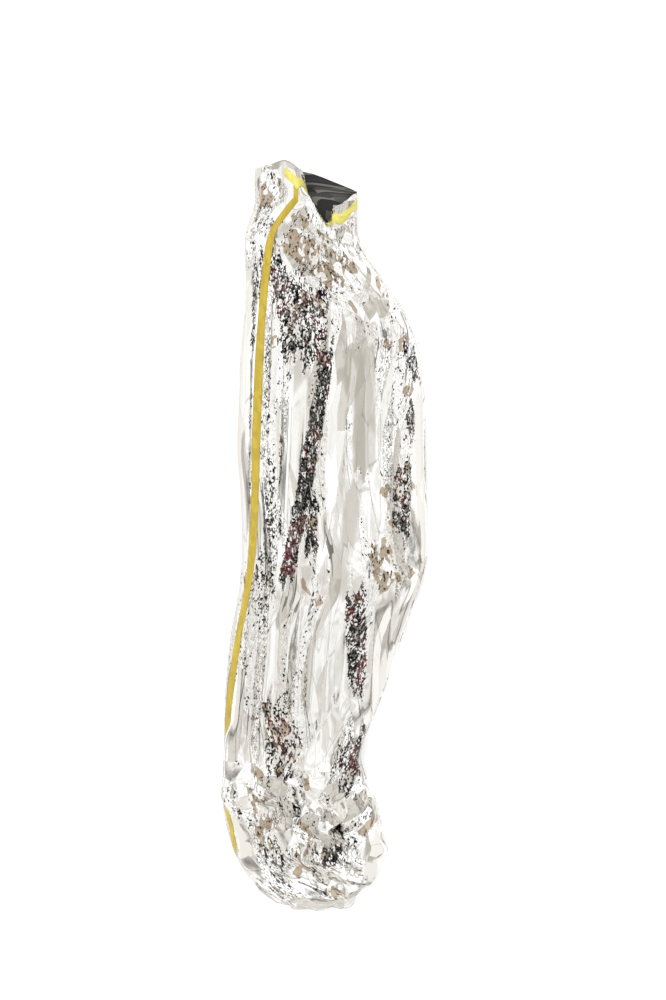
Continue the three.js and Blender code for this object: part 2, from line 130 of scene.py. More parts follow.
# The bag's outline from the foot to the mouth: its left and right edges, the middle of its taped seam,
# the crown of the front above the back, and the edge of the turned-under half
Station = namedtuple("Station", "y left right seam crown under")
OUTLINE = table(
    Station,
    (-860, -92, 76, -72, 8, -56),
    (-833, -117, 86, -96, 22, -76),
    (-812, -146, 97, -127, 36, -94),
    (-786, -166, 112, -151, 50, -106),
    (-764, -184, 125, -171, 60, -116),
    (-722, -207, 130, -197, 76, -126),
    (-695, -216, 131, -206, 82, -132),
    (-655, -227, 131, -212, 86, -136),
    (-600, -234, 118, -226, 84, -140),
    (-540, -231, 93, -223, 76, -142),
    (-488, -231, 84, -223, 68, -142),
    (-373, -229, 128, -217, 62, -138),
    (-235, -217, 176, -197, 66, -128),
    (-143, -200, 206, -180, 70, -118),
    (-51, -190, 234, -166, 74, -112),
    (87, -192, 234, -158, 78, -112),
    (202, -201, 231, -155, 80, -115),
    (340, -196, 229, -150, 82, -115),
    (432, -192, 222, -146, 84, -112),
    (547, -182, 169, -138, 78, -105),
    (639, -182, 104, -129, 66, -100),
    (700, -182, 76, -116, 60, -98),
    (754, -164, 73, -79, 58, -92),
    (800, -155, 54, -42, 56, -88),
    (851, -153, 52, -38, 50, -86),
)

# The line of the foot seam, by share of the width from the left edge
FootPoint = namedtuple("FootPoint", "share y")
FOOT = table(
    FootPoint,
    (0, -836),
    (0.16, -845),
    (0.45, -850),
    (0.72, -850),
    (0.88, -846),
    (1, -838),
)

# The rim of the mouth across the bag, on the front and on the back, and how far the front's hem is
# turned: -1 lies folded in behind the front, 0 stands straight, 1 lies turned out
RimPoint = namedtuple("RimPoint", "x front back turn")
MOUTH = table(
    RimPoint,
    (-160, 846, 846, 0),
    (-125, 853, 850, 0),
    (-92, 862, 848, 0),
    (-70, 852, 845, 0),
    (-56, 840, 843, 0),
    (-46, 840, 841, -0.22),
    (-34, 844, 839, -0.6),
    (-20, 824, 835, -0.9),
    (-4, 796, 829, -0.8),
    (8, 776, 824, -0.45),
    (20, 758, 819, 0),
    (38, 768, 812, 0.08),
    (59, 786, 803, 0.06),
    (78, 790, 795, 0),
)

# How squarely the front rises from its edges
CROWN_POWER = 2.6

# The front's main folds: straight crests that fall away over their left and right widths, and run out over
# a share of their length at each end
FOLD_TAPER = 0.25
Fold = namedtuple("Fold", "x0 y0 x1 y1 height left right")
FOLDS = table(
    Fold,
    (-68, -120, 34, 440, 26, 30, 52),
    (-92, -80, -70, 425, 18, 22, 34),
    (130, -30, 126, 545, 16, 34, 30),
    (178, -60, 196, 500, 22, 30, 34),
    (60, -30, 214, -96, 20, 44, 34),
    (104, -380, 112, -96, 24, 34, 44),
    (-64, -430, -50, -60, 18, 26, 34),
    (-10, -490, 20, -90, 18, 34, 40),
    (-28, -545, 74, -370, 22, 40, 44),
    (-200, -500, -168, -130, 12, 20, 24),
    (-140, -470, -122, -110, 16, 24, 26),
    (-60, 735, 104, 565, 14, 24, 30),
    (-6, 690, 176, 540, 14, 26, 26),
    (-100, 640, 26, 500, 18, 28, 34),
    (40, 660, 206, 440, 14, 24, 24),
    (-166, 120, -160, 560, 8, 14, 16),
)

# The crumpled foot: four-sided peaks and hollows, each with its own reach and turn in degrees
Crumple = namedtuple("Crumple", "x y height reach turn")
CRUMPLES = table(
    Crumple,
    (-176, -560, 20, 46, 20),
    (-96, -545, 26, 50, 35),
    (-20, -590, 26, 46, 10),
    (48, -610, 32, 50, 40),
    (92, -655, 26, 40, 15),
    (-128, -625, -22, 36, 0),
    (-66, -655, 30, 44, 28),
    (10, -668, -20, 36, 45),
    (-186, -655, 18, 36, 10),
    (-140, -720, 28, 46, 38),
    (-60, -735, -16, 36, 20),
    (16, -728, 30, 46, 8),
    (84, -728, 22, 40, 30),
    (-86, -790, 20, 36, 12),
    (0, -796, 16, 34, 40),
    (66, -786, 22, 34, 22),
)

# Faceted relief of the front: the cell across and along the bag, how far it leans to the right towards
# the foot, its height, and the stretch of the bag that it covers
Relief = namedtuple("Relief", "seed across along lean height low high fade")
RELIEFS = table(
    Relief,
    (11, 44, 210, 0.05, 4.8, -470, 560, 90),
    (12, 17, 80, -0.1, 1.5, -500, 600, 90),
    (13, 9, 24, 0.1, 0.35, -560, 640, 90),
    (21, 52, 30, 0.9, 5.5, 520, 800, 60),
    (22, 22, 16, 0.7, 1.5, 500, 840, 60),
    (31, 50, 50, 0, 10.0, -900, -460, 80),
    (32, 24, 24, 0, 1.1, -900, -430, 80),
)

# The relief's random points: how far they stray from their cell's middle, and the cells beyond the film
JITTER = 0.42
SPARE_CELLS = 2

# How flat the relief lies: where the film is calm, round the seam's tape, on the hem and over the turned-in
# hem. It fades out over a share of the width at the sides, and over a distance at the foot
CALM_FLATNESS = 0.8
SEAM_FLATNESS = 0.75
SEAM_REACH = 1.6
HEM_FLATNESS = 0.8
HEM_FADE_ROWS = 4
TURNED_FLATNESS = 0.9
SIDE_FLAT = 0.05
FOOT_FLAT = 50

# The front's general share of painted brown reflection and its general crinkle, how crinkled the film is
# elsewhere, and how much more the foot is
GENERAL_BROWN_REFLECTION = 0.03
GENERAL_CRINKLE = 0.6
HIDDEN_CRINKLE = 0.35
FOOT_CRINKLE = 0.45
# How strongly the lower body takes the painted beige reflection in general, and the share of the bag's width
# at either side that takes it as well
GENERAL_BEIGE_REFLECTION = 0.45
SIDE_SHADE = 0.07
LOWER_BODY = (-540, -40)
FOOT_TOP = -520
ZONE_FADE = 80

# Where the film right of the side tape is folded over it: its stretches of the bag, how far their ends
# fade, how far the fold reaches to the left, and the columns that it draws along
PLEATS = [(-646, -404), (-800, -684)]
PLEAT_FADE = 60
PLEAT_DEPTH = 16
PLEAT_COLUMNS = 9

# Corners of the film that stick out or in: a place, how far round it the film is drawn, and by how much
Flap = namedtuple("Flap", "x y reach dx dy")
FLAPS = table(
    Flap,
    (66, -848, 18, 3, -6),
    (96, -838, 46, -12, 22),
    (-62, -842, 26, -3, -5),
    (-18, -850, 20, 0, -4),
    (18, -850, 18, 0, 6),
    (132, -711, 24, 17, -4),
)

# How far a patch's edge fades, how far that of its calm does, how far a patch runs on beyond its line,
# and how ragged its ends are
PATCH_EDGE = 4
CALM_EDGE = 18
PATCH_END = 10
RAGGED = 24
RAGGED_STEP = 4.1
RAGGED_SWELL = 2.7

# Stretches of the front by their look: a band round a straight line, how much of it shows painted dark
# reflection and shade, how much a painted brown reflection, how crinkled it is, how calm it lies, and its
# lean to a painted beige reflection, up to 1, or to white, down to -1
Patch = namedtuple("Patch", "x0 y0 x1 y1 reach dark brown crinkle calm beige", defaults=(0, 0))
PATCHES = table(
    Patch,
    (-80, 585, -62, 425, 36, 0.5, 0.15, 1.0),
    (-14, 560, -24, 390, 26, 0.46, 0.12, 1.0),
    (12, 430, -86, -92, 17, 0.6, 0.03, 0.9),
    (-26, 92, -28, -30, 17, 0.56, 0.05, 0.8),
    (-62, 330, -66, 110, 8, 0.34, 0.05, 0.6),
    (-157, 640, -164, 440, 5, 0.52, 0, 0.6),
    (-168, 380, -172, 120, 4, 0.4, 0, 0.6),
    (-128, 470, -130, 190, 8, 0.34, 0.05, 1.0),
    (-120, 170, -128, -200, 14, 0.36, 0.05, 1.0),
    (-98, 240, -100, 10, 3, 0.62, 0, 0.8),
    (190, 432, 206, 372, 12, 0.54, 0, 0.9),
    (196, 290, 202, 246, 14, 0.5, 0.1, 0.9),
    (176, 160, 172, 20, 20, 0.48, 0.15, 0.9),
    (122, -22, 150, -104, 27, 0.22, 0.75, 0.5),
    (68, -126, 78, -346, 24, 0.52, 0.15, 0.9),
    (-110, -376, -100, -530, 30, 0.44, 0.3, 0.9),
    (-66, -420, -84, -540, 10, 0.36, 0.3, 0.9),
    (106, -410, 46, -566, 15, 0.56, 0.05, 0.8),
    (62, -468, 34, -520, 20, 0.46, 0.1, 0.8),
    (-146, -30, -152, -212, 9, 0.34, 0, 0.6),
    (-84, 706, 46, 590, 46, 0.16, 0.8, 0.9),
    (-118, 640, -96, 560, 22, 0.46, 0.3, 1.0),
    (-143, 655, -146, 545, 5, 0.5, 0, 0.3),
    (-122, 850, -116, 812, 12, 0.46, 0.2, 0.8),
    (-138, 812, -128, 760, 16, 0.2, 0.8, 0.8),
    (-140, 740, -128, 700, 20, 0.28, 0.25, 0.9),
    (110, 560, 150, 500, 16, 0.15, 0.5, 0.7),
    (-141, -640, -137, -684, 18, 0.2, 0.9, 0.3),
    (0, -738, 34, -700, 11, 0.6, 0, 0.9),
    (22, -726, 22, -700, 30, 0.3, 0.1, 1.0),
    (-122, -694, -112, -720, 18, 0.48, 0, 0.9),
    (-194, -626, -192, -694, 8, 0.52, 0, 0.7),
    (-104, -776, -92, -800, 20, 0.38, 0.1, 1.0),
    (-168, -560, -152, -600, 16, 0.1, 0.7, 0.4),
    (-41, -536, -38, -560, 8, 0, 0.95, 0.2),
    (82, -666, 108, -644, 9, 0, 0.95, 0.2),
    (-70, -770, -52, -748, 9, 0, 0.95, 0.2),
    (8, -802, 22, -812, 15, 0, 0.95, 0.3),
    (-34, -664, -30, -676, 9, 0, 0.9, 0.3),
    (-96, -436, -60, -452, 18, 0.25, 0.5, 0.4),
    (-52, 380, -84, 90, 19, 0, 0, 0.12, 1.0, -1),
    (40, 430, 20, 110, 19, 0, 0, 0.12, 1.0, -1),
    (86, 432, 92, 160, 26, 0, 0, 0, 0.95, 1.0),
    (70, 120, 22, -180, 18, 0, 0, 0, 0.85, 0.5),
    (-6, 60, -2, -120, 9, 0, 0, 0, 0.9, -1),
    (40, -372, -30, -520, 26, 0, 0, 0, 0.9, 0.2),
    (16, -140, 24, -350, 18, 0, 0, 0, 0.85, 0.3),
    (146, -130, 106, -430, 28, 0, 0, 0.04, 0.9, 0.8),
    (216, 330, 222, -20, 12, 0, 0, 0.2, 0.7, 0.6),
    (-20, -240, -10, -420, 22, 0, 0, 0.1, 0.8, 0.5),
    (-178, 600, -188, -40, 14, 0, 0, 0.25, 0.7, 0.7),
    (-110, -150, -118, -330, 14, 0, 0, 0, 0.8, 0.3),
    (-196, -640, -150, -780, 14, 0, 0, 0, 0.9, 0.9),
    (-60, -834, 40, -838, 12, 0, 0, 0, 0.9, 0.8),
    (112, -690, 100, -780, 16, 0, 0, 0, 0.9, 0.9),
    (-46, -586, -2, -616, 16, 0, 0, 0, 0.9, -1),
    (56, -752, 64, -836, 14, 0, 0, 0, 0.9, -1),
    (-178, -470, -166, -540, 14, 0, 0, 0.1, 0.8, -0.8),
    (-90, -640, -60, -700, 20, 0, 0, 0.3, 0.3, -0.8),
    (60, -620, 96, -600, 14, 0, 0, 0.3, 0.4, -0.8),
    (74, 640, 150, 480, 14, 0, 0, 0.3, 0.6, 0.3),
)

# Where the front lies over its turned-in hem
TURNED_HEM = Patch(-20, 850, 0, 760, 40, 0, 0, 0)

# How much of the hem's turn each part of the section takes
HEM_TURN = {"front": 1, "turn": 0.5, "floor": 0, "fold": 0, "back": 0}

TOP = OUTLINE[-1].y
BOTTOM = OUTLINE[0].y


def length_property(name, description, default):
    return bpy.props.FloatProperty(
        name=name, description=description, default=default, min=0.0001, unit="LENGTH"
    )


def factor_property(name, description, default):
    return bpy.props.FloatProperty(name=name, description=description, default=default, min=0)


def colour_property(name, description, default):
    return bpy.props.FloatVectorProperty(
        name=name, description=description, default=default, subtype="COLOR", size=3, min=0, max=1
    )


class BagShape(bpy.types.PropertyGroup):
    """Sizes of the film and its crumples."""

    film: length_property("Film", "Thickness of the shown film", 0.0005)
    tape: length_property("Tape", "Thickness of the shown tapes", 0.0004)
    relief: factor_property("Crumple", "Depth of the facets, as a share of the tables", 1.0)
    flat_width: length_property("Cut width", "Width of the sheet the bag is folded from", 1.7)
    flat_length: length_property("Cut length", "Length of the sheet the bag is folded from", 1.95)


class BagLooks(bpy.types.PropertyGroup):
    """Colours of the film and its tapes, and the reflections and shade painted into the film's colour."""

    silver: colour_property("Silver", "The film's bright panels", (0.97, 0.97, 0.97))
    # Painted reflection: a warm tint on whole panels, painted into the silver
    warm: colour_property("Warm silver", "The film's warm panels", (0.80, 0.785, 0.755))
    # Painted reflection of a warm wall on calm stretches
    beige: colour_property("Beige", "Calm stretches that catch a warm wall", (0.60, 0.578, 0.535))
    # Painted shade along creases, painted grey reflection on shards, and the painted light on the inside's
    # lit spots
    grey_shade_and_reflection: colour_property("Crease", "Creases and grey shards", (0.27, 0.26, 0.245))
    # Painted reflection of a warm, dim light on facets
    brown: colour_property("Brown", "Facets that catch a warm, dim light", (0.42, 0.335, 0.245))
    # Painted black reflection on shards, and painted shade in the long creases
    dark: colour_property("Dark", "Shards that catch no light", (0.005, 0.005, 0.006))
    # Painted reflection of something red on shards
    red_reflection: colour_property("Dark red", "Shards that catch something red", (0.095, 0.018, 0.018))
    # Painted shade: the inside is painted near black for the bag's own shade
    inside: colour_property("Inside", "The film's inside", (0.030, 0.030, 0.032))
    side: colour_property("Side tape", "The seam's tape", (0.56, 0.41, 0.03))
    mouth: colour_property("Mouth tape", "The hem's tape", (0.83, 0.76, 0.16))
    foot: colour_property("Foot tape", "The foot's tape", (0.60, 0.47, 0.08))


class StageLooks(bpy.types.PropertyGroup):
    """The floor, the light and the camera."""

    floor: colour_property("Floor", "The floor's colour", (0.915, 0.92, 0.93))
    glow: factor_property("Floor glow", "Light that the floor adds", 0.22)
    light: factor_property("Light", "Strength of the studio", 1.0)
    height: length_property("Camera height", "Height of the camera above the bag", 6.0)


# Reading the tables


def read(rows, key, column, at):
    """A smooth curve through a table's rows: the values of one column at places along another."""
    keys = np.array([getattr(row, key) for row in rows], float)
    values = np.array([getattr(row, column) for row in rows], float)
    places = np.asarray(at, float)
    last = len(keys) - 1
    row = np.clip(np.searchsorted(keys, places) - 1, 0, last - 1)
    before = np.maximum(np.arange(last + 1) - 1, 0)
    after = np.minimum(np.arange(last + 1) + 1, last)
    slopes = (values[after] - values[before]) / (keys[after] - keys[before])
    step = keys[row + 1] - keys[row]
    t = np.clip((places - keys[row]) / step, 0, 1)
    leave = step * slopes[row]
    arrive = step * slopes[row + 1]
    rise = values[row + 1] - values[row]
    return values[row] + t * (leave + t * (3 * rise - 2 * leave - arrive + t * (leave + arrive - 2 * rise)))


def edge(column, y):
    return read(OUTLINE, "y", column, y)


def clamp01(value):
    return np.clip(value, 0, 1)


def smooth01(value):
    t = clamp01(value)
    return t * t * (3 - 2 * t)


def blend(a, b, share):
    return a + (b - a) * share


def slope_of(height, at):
    return (height(at + PROBE) - height(at - PROBE)) / (2 * PROBE)


def share_of(x, y):
    """Share of the bag's width at a place: 0 at its left edge and 1 at its right."""
    left = edge("left", y)
    return clamp01((x - left) / (edge("right", y) - left))


def from_edges(x, y):
    """How far a place lies from the nearer side, as a share of the bag's width."""
    share = share_of(x, y)
    return np.minimum(share, 1 - share)


def along_line(line, x, y):
    """Distances along a table's straight line and aside of it, and the line's length."""
    length = math.hypot(line.x1 - line.x0, line.y1 - line.y0)
    dx = (line.x1 - line.x0) / length
    dy = (line.y1 - line.y0) / length
    forward = (x - line.x0) * dx + (y - line.y0) * dy
    aside = (x - line.x0) * dy - (y - line.y0) * dx
    return forward, aside, length


# Heights of the layers


def floor_height(x, y):
    """Middle of the film that lies on the surface, lifted a little at its taped ends."""
    from_foot = y - read(FOOT, "share", "y", share_of(x, y)) - 2 * TAPE_WIDTH
    from_mouth = read(MOUTH, "x", "back", x) - HEM - y
    return HALF_FILM + END_LIFT * (1 - smooth01(np.minimum(from_foot, from_mouth) / LIFT_REACH))


def step_top(y):
    return edge("under", y) - STEP_CLEAR


def step_foot(y):
    return step_top(y) - STEP_WIDTH


def upper_height(x, y):
    """Middle of the turned-under half's upper layer."""
    return floor_height(x, y) + UNDER_GAP


def back_height(x, y):
    """Middle of the back, which lies on the turned-under half and steps down to the surface left of it."""
    down = (step_top(y) - x) / STEP_WIDTH
    return floor_height(x, y) + (UNDER_GAP + BETWEEN_GAP) * (1 - smooth01(down))


def fold_height(fold, x, y):
    """A straight crest that runs out at each end."""
    forward, aside, length = along_line(fold, x, y)
    taper = FOLD_TAPER * length
    across = clamp01(1 - np.abs(aside) / np.where(aside < 0, fold.left, fold.right))
    return fold.height * across * (clamp01(forward / taper) * clamp01((length - forward) / taper))


def crumple_height(crumple, x, y):
    """A four-sided peak or hollow."""
    turn = math.radians(crumple.turn)
    dx = x - crumple.x
    dy = y - crumple.y
    u = dx * math.cos(turn) + dy * math.sin(turn)
    v = dy * math.cos(turn) - dx * math.sin(turn)
    return crumple.height * clamp01(1 - np.maximum(np.abs(u), np.abs(v)) / crumple.reach)


def front_height(x, y):
    """Middle of the front: it rises steeply from both edges to its crown, with its folds and crumples."""
    share = share_of(x, y)
    rise = np.sqrt(1 - np.abs(2 * share - 1) ** CROWN_POWER)
    opened = smooth01((y - read(FOOT, "share", "y", share)) / FOOT_RISE)
    folds = sum(fold_height(fold, x, y) for fold in FOLDS)
    crumples = sum(crumple_height(crumple, x, y) for crumple in CRUMPLES)
    return back_height(x, y) + FRONT_GAP + rise * opened * (edge("crown", y) + folds + crumples)


# The film's section as columns

# A column of the film: the part of the section it is in, its place across the bag at a distance along it,
# and its height there
Column = namedtuple("Column", "side place height")


def left_of(y):
    return edge("left", y) + FRONT_GAP / 2


def right_of(y):
    return edge("right", y) - RIGHT_TURN


def under_left(y):
    return edge("under", y) + UNDER_GAP / 2


def tape_edge(y, direction):
    """An edge of the seam's tape, nearer its middle where the film under it is steep."""
    middle = edge("seam", y)
    steep = slope_of(lambda x: front_height(x, y), middle)
    return middle + direction * TAPE_WIDTH / 2 / np.hypot(1, steep)


def between(start, end, share):
    """The place a share of the way between two edges."""
    return lambda y: blend(start(y), end(y), share)


def run_of(side, start, end, height, shares):
    return [Column(side, between(start, end, share), height) for share in shares]


def front_columns():
    tape_left = functools.partial(tape_edge, direction=-1)
    tape_right = functools.partial(tape_edge, direction=1)
    left = [(i / LEFT_COLUMNS) ** LEFT_CROWDING for i in range(LEFT_COLUMNS)]
    seam = [i / SEAM_COLUMNS for i in range(SEAM_COLUMNS)]
    right = [1 - (1 - i / RIGHT_COLUMNS) ** RIGHT_CROWDING for i in range(RIGHT_COLUMNS + 1)]
    return (
        run_of("front", left_of, tape_left, front_height, left)
        + run_of("front", tape_left, tape_right, front_height, seam)
        + run_of("front", tape_right, right_of, front_height, right)
    )


def turn_columns(side, edge_of, height, radius, to_right, downwards, steps):
    """Columns round half a circle that joins a layer's edge to the layer above it, without its ends."""
    columns = []
    for i in range(1, steps):
        angle = math.pi * (i / steps - 0.5) * (-1 if downwards else 1)
        dx = radius * math.cos(angle) * (1 if to_right else -1)
        dz = radius * math.sin(angle)
        columns.append(
            Column(
                side,
                lambda y, dx=dx: edge_of(y) + dx,
                lambda x, y, dz=dz: height(edge_of(y), y) + radius + dz,
            )
        )
    return columns


def film_columns():
    """The whole section, clockwise from its left edge."""
    level = [i / UNDER_COLUMNS for i in range(UNDER_COLUMNS + 1)]
    steps = [i / STEP_COLUMNS for i in range(1, STEP_COLUMNS + 1)]
    return (
        front_columns()
        + turn_columns("turn", right_of, floor_height, RIGHT_TURN, True, True, TURN_COLUMNS)
        + run_of("floor", right_of, under_left, floor_height, level)
        + turn_columns("fold", under_left, floor_height, UNDER_GAP / 2, False, False, FOLD_COLUMNS)
        + run_of("back", under_left, right_of, upper_height, level)
        + turn_columns("back", right_of, upper_height, BETWEEN_GAP / 2, True, False, FOLD_COLUMNS)
        + run_of("back", right_of, step_top, back_height, level)
        + run_of("back", step_top, step_foot, back_height, steps)
        + run_of("back", step_foot, left_of, back_height, steps)
        + turn_columns("back", left_of, floor_height, FRONT_GAP / 2, False, False, FOLD_COLUMNS)
    )


# The film as rows of points


def meet(line, low, high):
    """The distance along the bag at which a column meets a line across it, between two distances."""
    while high - low > MEET_ERROR:
        middle = (low + high) / 2
        if line(middle) > middle:
            low = middle
        else:
            high = middle
    return (low + high) / 2


ColumnEnd = namedtuple("ColumnEnd", "foot hem slant turn")


def column_end(column):
    """Where a column starts at the foot and where its hem starts, and how the hem is turned there."""
    middle = (TOP + BOTTOM) / 2
    rim = "front" if column.side == "front" else "back"
    foot = meet(lambda y: read(FOOT, "share", "y", share_of(column.place(y), y)), BOTTOM, middle)
    hem = meet(lambda y: read(MOUTH, "x", rim, column.place(y)) - HEM, middle, TOP)
    x = float(column.place(hem))
    rise = slope_of(lambda place: read(MOUTH, "x", rim, place), x)
    turn = HEM_TURN[column.side] * float(read(MOUTH, "x", "turn", x))
    return ColumnEnd(foot, hem, min(MOST_SLANT, math.hypot(1, rise)), turn)


def hem_stops(slant):
    """Distances from the hem's start to its rows: round the bend, to the tape, across it, and to the rim."""
    upper = HEM - MARGIN * min(slant, MOST_MARGIN_SLANT)
    lower = upper - TAPE_WIDTH * slant
    stops = [BEND * i / BEND_ROWS for i in range(1, BEND_ROWS + 1)]
    for start, end, count in ((BEND, lower, LOW_ROWS), (lower, upper, BAND_ROWS), (upper, HEM, MARGIN_ROWS)):
        stops += [blend(start, end, i / count) for i in range(1, count + 1)]
    return stops


def hem_place(stop, turn):
    """How far a row of the hem lies along and out of the film."""
    step = stop / BEND_STEPS
    angles = [turn * FULL_TURN * min(1, step * (i + 0.5) / BEND) for i in range(BEND_STEPS)]
    forward = step * sum(math.cos(angle) for angle in angles)
    out = step * sum(math.sin(angle) for angle in angles)
    return forward, HEM_ROOM * math.tanh(out / HEM_ROOM) if out < 0 else out


def film_rows(columns):
    """The middle of the film as an array of rows, columns and x, y, z."""
    ends = [column_end(column) for column in columns]
    lines = []
    for column, end in zip(columns, ends):
        foot = [end.foot + TAPE_WIDTH * i / FOOT_ROWS for i in range(FOOT_ROWS)]
        shares = np.arange(BODY_ROWS + 1) / BODY_ROWS
        y = np.concatenate([foot, blend(end.foot + TAPE_WIDTH, end.hem, shares)])
        x = column.place(y)
        lines.append(np.stack([x, y, column.height(x, y) + 0 * y], axis=1))
    body = np.stack(lines, axis=1)
    last = body[-1]
    ahead = np.roll(last, -2, axis=0) - np.roll(last, 2, axis=0)
    outward = np.stack([-ahead[:, 2], 0 * ahead[:, 0], ahead[:, 0]], axis=1)
    outward /= np.linalg.norm(outward, axis=1, keepdims=True)
    hem = np.zeros((len(hem_stops(1)), len(columns), 3))
    for i, end in enumerate(ends):
        for k, stop in enumerate(hem_stops(end.slant)):
            forward, out = hem_place(stop, end.turn)
            hem[k, i] = last[i] + outward[i] * out + np.array([0, forward, 0])
    return np.concatenate([body, hem])


def normals_of(points):
    """Directions out of the bag at rows of points that close on themselves."""
    right = np.roll(points, -1, axis=1) - np.roll(points, 1, axis=1)
    up = np.gradient(points, axis=0)
    normals = np.cross(right, up)
    return normals / np.maximum(np.linalg.norm(normals, axis=2, keepdims=True), 1e-9)


# Crumples of the front


def faceted(relief, u, y):
    """Heights of a faceted relief across and along the film: flat triangles between random points."""
    dice = random.Random(relief.seed)
    start = float(u.min()) - (SPARE_CELLS + 1) * relief.across
    a = (u - start + relief.lean * (y - BOTTOM)) / relief.across
    b = (y - BOTTOM) / relief.along
    spots = [
        Vector((i + dice.uniform(-JITTER, JITTER), j + dice.uniform(-JITTER, JITTER)))
        for i in range(math.floor(a.min()) - SPARE_CELLS, int(a.max()) + SPARE_CELLS + 2)
        for j in range(math.floor(b.min()) - SPARE_CELLS, math.ceil(b.max()) + SPARE_CELLS + 1)
    ]
    corners, _, faces, *_ = delaunay_2d_cdt(spots, [], [], 0, 1e-6)
    tops = [Vector((c.x, c.y, dice.uniform(-1, 1))) for c in corners]
    tree = BVHTree.FromPolygons(tops, faces)
    heights = np.zeros(u.size)
    down = Vector((0, 0, -1))
    for k, (s, t) in enumerate(zip(a.flat, b.flat)):
        hit = tree.ray_cast(Vector((s, t, 2)), down)[0]
        heights[k] = hit.z if hit else 0
    return relief.height * heights.reshape(u.shape)


def patch_cover(patch, x, y, fade=PATCH_EDGE):
    """How far a place lies within a patch: 1 inside and 0 beyond its narrow edge."""
    forward, aside, length = along_line(patch, x, y)
    beyond = np.maximum(-forward, forward - length)
    ragged = RAGGED * np.sin(x / RAGGED_STEP + patch.y0) * np.sin(x / (RAGGED_SWELL * RAGGED_STEP))
    inside = np.minimum(patch.reach - np.abs(aside), PATCH_END + ragged - beyond)
    return smooth01(inside / fade + 0.5)


def patched(name, x, y, start, fade=PATCH_EDGE):
    """One value over the film, such as its calm, its crinkle or a share of painted reflection and shade: the
    patches raise its general value, or lower it where they ask for less.
    """
    value = np.full(x.shape, float(start))
    for patch in PATCHES:
        wanted = getattr(patch, name)
        cover = patch_cover(patch, x, y, fade)
        value = np.maximum(value, wanted * cover) if wanted > start else blend(value, wanted, cover)
    return value


def relief_push(x, y, u, calm):
    """How far the relief pushes the front out, by rows and columns."""
    relief = sum(
        faceted(row, u, y)
        * smooth01((y - row.low) / row.fade + 0.5)
        * smooth01((row.high - y) / row.fade + 0.5)
        for row in RELIEFS
    )
    hem_rows = np.arange(len(y))[:, None] - (FOOT_ROWS + BODY_ROWS)
    from_sides = smooth01(from_edges(x, y) / SIDE_FLAT)
    near_seam = 1 - SEAM_FLATNESS * smooth01(SEAM_REACH - np.abs(x - edge("seam", y)) / TAPE_WIDTH)
    from_foot = smooth01((y - BOTTOM - TAPE_WIDTH) / FOOT_FLAT)
    on_hem = 1 - HEM_FLATNESS * smooth01(hem_rows / HEM_FADE_ROWS + 1)
    at_hem = 1 - TURNED_FLATNESS * patch_cover(TURNED_HEM, x, y)
    depth = bpy.context.scene.bag_shape.relief * relief * (1 - CALM_FLATNESS * calm)
    return depth * from_sides * near_seam * from_foot * on_hem * at_hem


def draw_pleats(points, base):
    """Draws the film right of the side tape over it, where its pleats are."""
    first = LEFT_COLUMNS + SEAM_COLUMNS + 1
    for k in range(PLEAT_COLUMNS):
        y = base[:, first + k, 1]
        covers = [
            smooth01((y - low) / PLEAT_FADE) * smooth01((high - y) / PLEAT_FADE) for low, high in PLEATS
        ]
        points[:, first + k, 0] -= PLEAT_DEPTH * sum(covers) * (1 - k / PLEAT_COLUMNS)


def draw_flaps(points, base):
    """Draws the film's corners out or in."""
    for flap in FLAPS:
        away = np.hypot(base[..., 0] - flap.x, base[..., 1] - flap.y)
        pull = clamp01(1 - away / flap.reach)
        points[..., 0] += flap.dx * pull
        points[..., 1] += flap.dy * pull


def crinkle_and_painted_light_of(shape, x, y, calm):
    """Each place's shares of painted black reflection and shade, of the painted reflection of a warm, dim
    light and of crinkle, and its lean to the painted reflection of a warm wall or to white, as four
    channels.
    """
    front = x.shape[1]
    finish = np.zeros((*shape, 4))
    finish[..., 2] = HIDDEN_CRINKLE
    finish[..., 3] = 0.5
    # The first two channels are painted light: black reflection and shade, then the reflection of a warm,
    # dim light
    finish[:, :front, 0] = patched("dark", x, y, 0)
    finish[:, :front, 1] = patched("brown", x, y, GENERAL_BROWN_REFLECTION)
    at_foot = 1 + FOOT_CRINKLE * smooth01((FOOT_TOP - y) / ZONE_FADE)
    finish[:, :front, 2] = patched("crinkle", x, y, GENERAL_CRINKLE) * (1 - calm) * at_foot
    # The lean to the painted reflection of a warm wall: over the lower body, at the sides, and where the
    # patches ask for it
    low, high = LOWER_BODY
    general = GENERAL_BEIGE_REFLECTION * smooth01((y - low) / ZONE_FADE) * smooth01((high - y) / ZONE_FADE)
    at_side = 1 - smooth01(from_edges(x, y) / SIDE_SHADE)
    lean = patched("beige", x, y, 0)
    lean = np.where(lean < 0, lean, np.maximum(lean, np.maximum(general, at_side)))
    finish[:, :front, 3] = 0.5 + 0.5 * lean
    return finish


LaidFilm = namedtuple("LaidFilm", "columns points normals u v finish")


@functools.lru_cache(maxsize=1)
def laid_film():
    """The film as it lies, with its crumples, its own flat coordinates, and each place's crinkle and the
    reflections and shade painted on it.
    """
    columns = film_columns()
    base = film_rows(columns)
    normals = normals_of(base)
    lengths = np.linalg.norm(np.roll(base, -1, axis=1) - base, axis=2)
    u = np.concatenate([np.zeros((len(base), 1)), np.cumsum(lengths, axis=1)], axis=1)
    v = base[:, :1, 1] + 0 * u
    front = sum(column.side == "front" for column in columns)
    x, y = base[:, :front, 0], base[:, :front, 1]
    calm = patched("calm", x, y, 0, CALM_EDGE)
    points = base.copy()
    points[:, :front] += normals[:, :front] * relief_push(x, y, u[:, :front], calm)[..., None]
    points[..., 2] = np.maximum(points[..., 2], HALF_FILM)
    draw_pleats(points, base)
    draw_flaps(points, base)
    return LaidFilm(columns, points, normals_of(points), u, v, crinkle_and_painted_light_of(base.shape[:2], x, y, calm))


# Making meshes


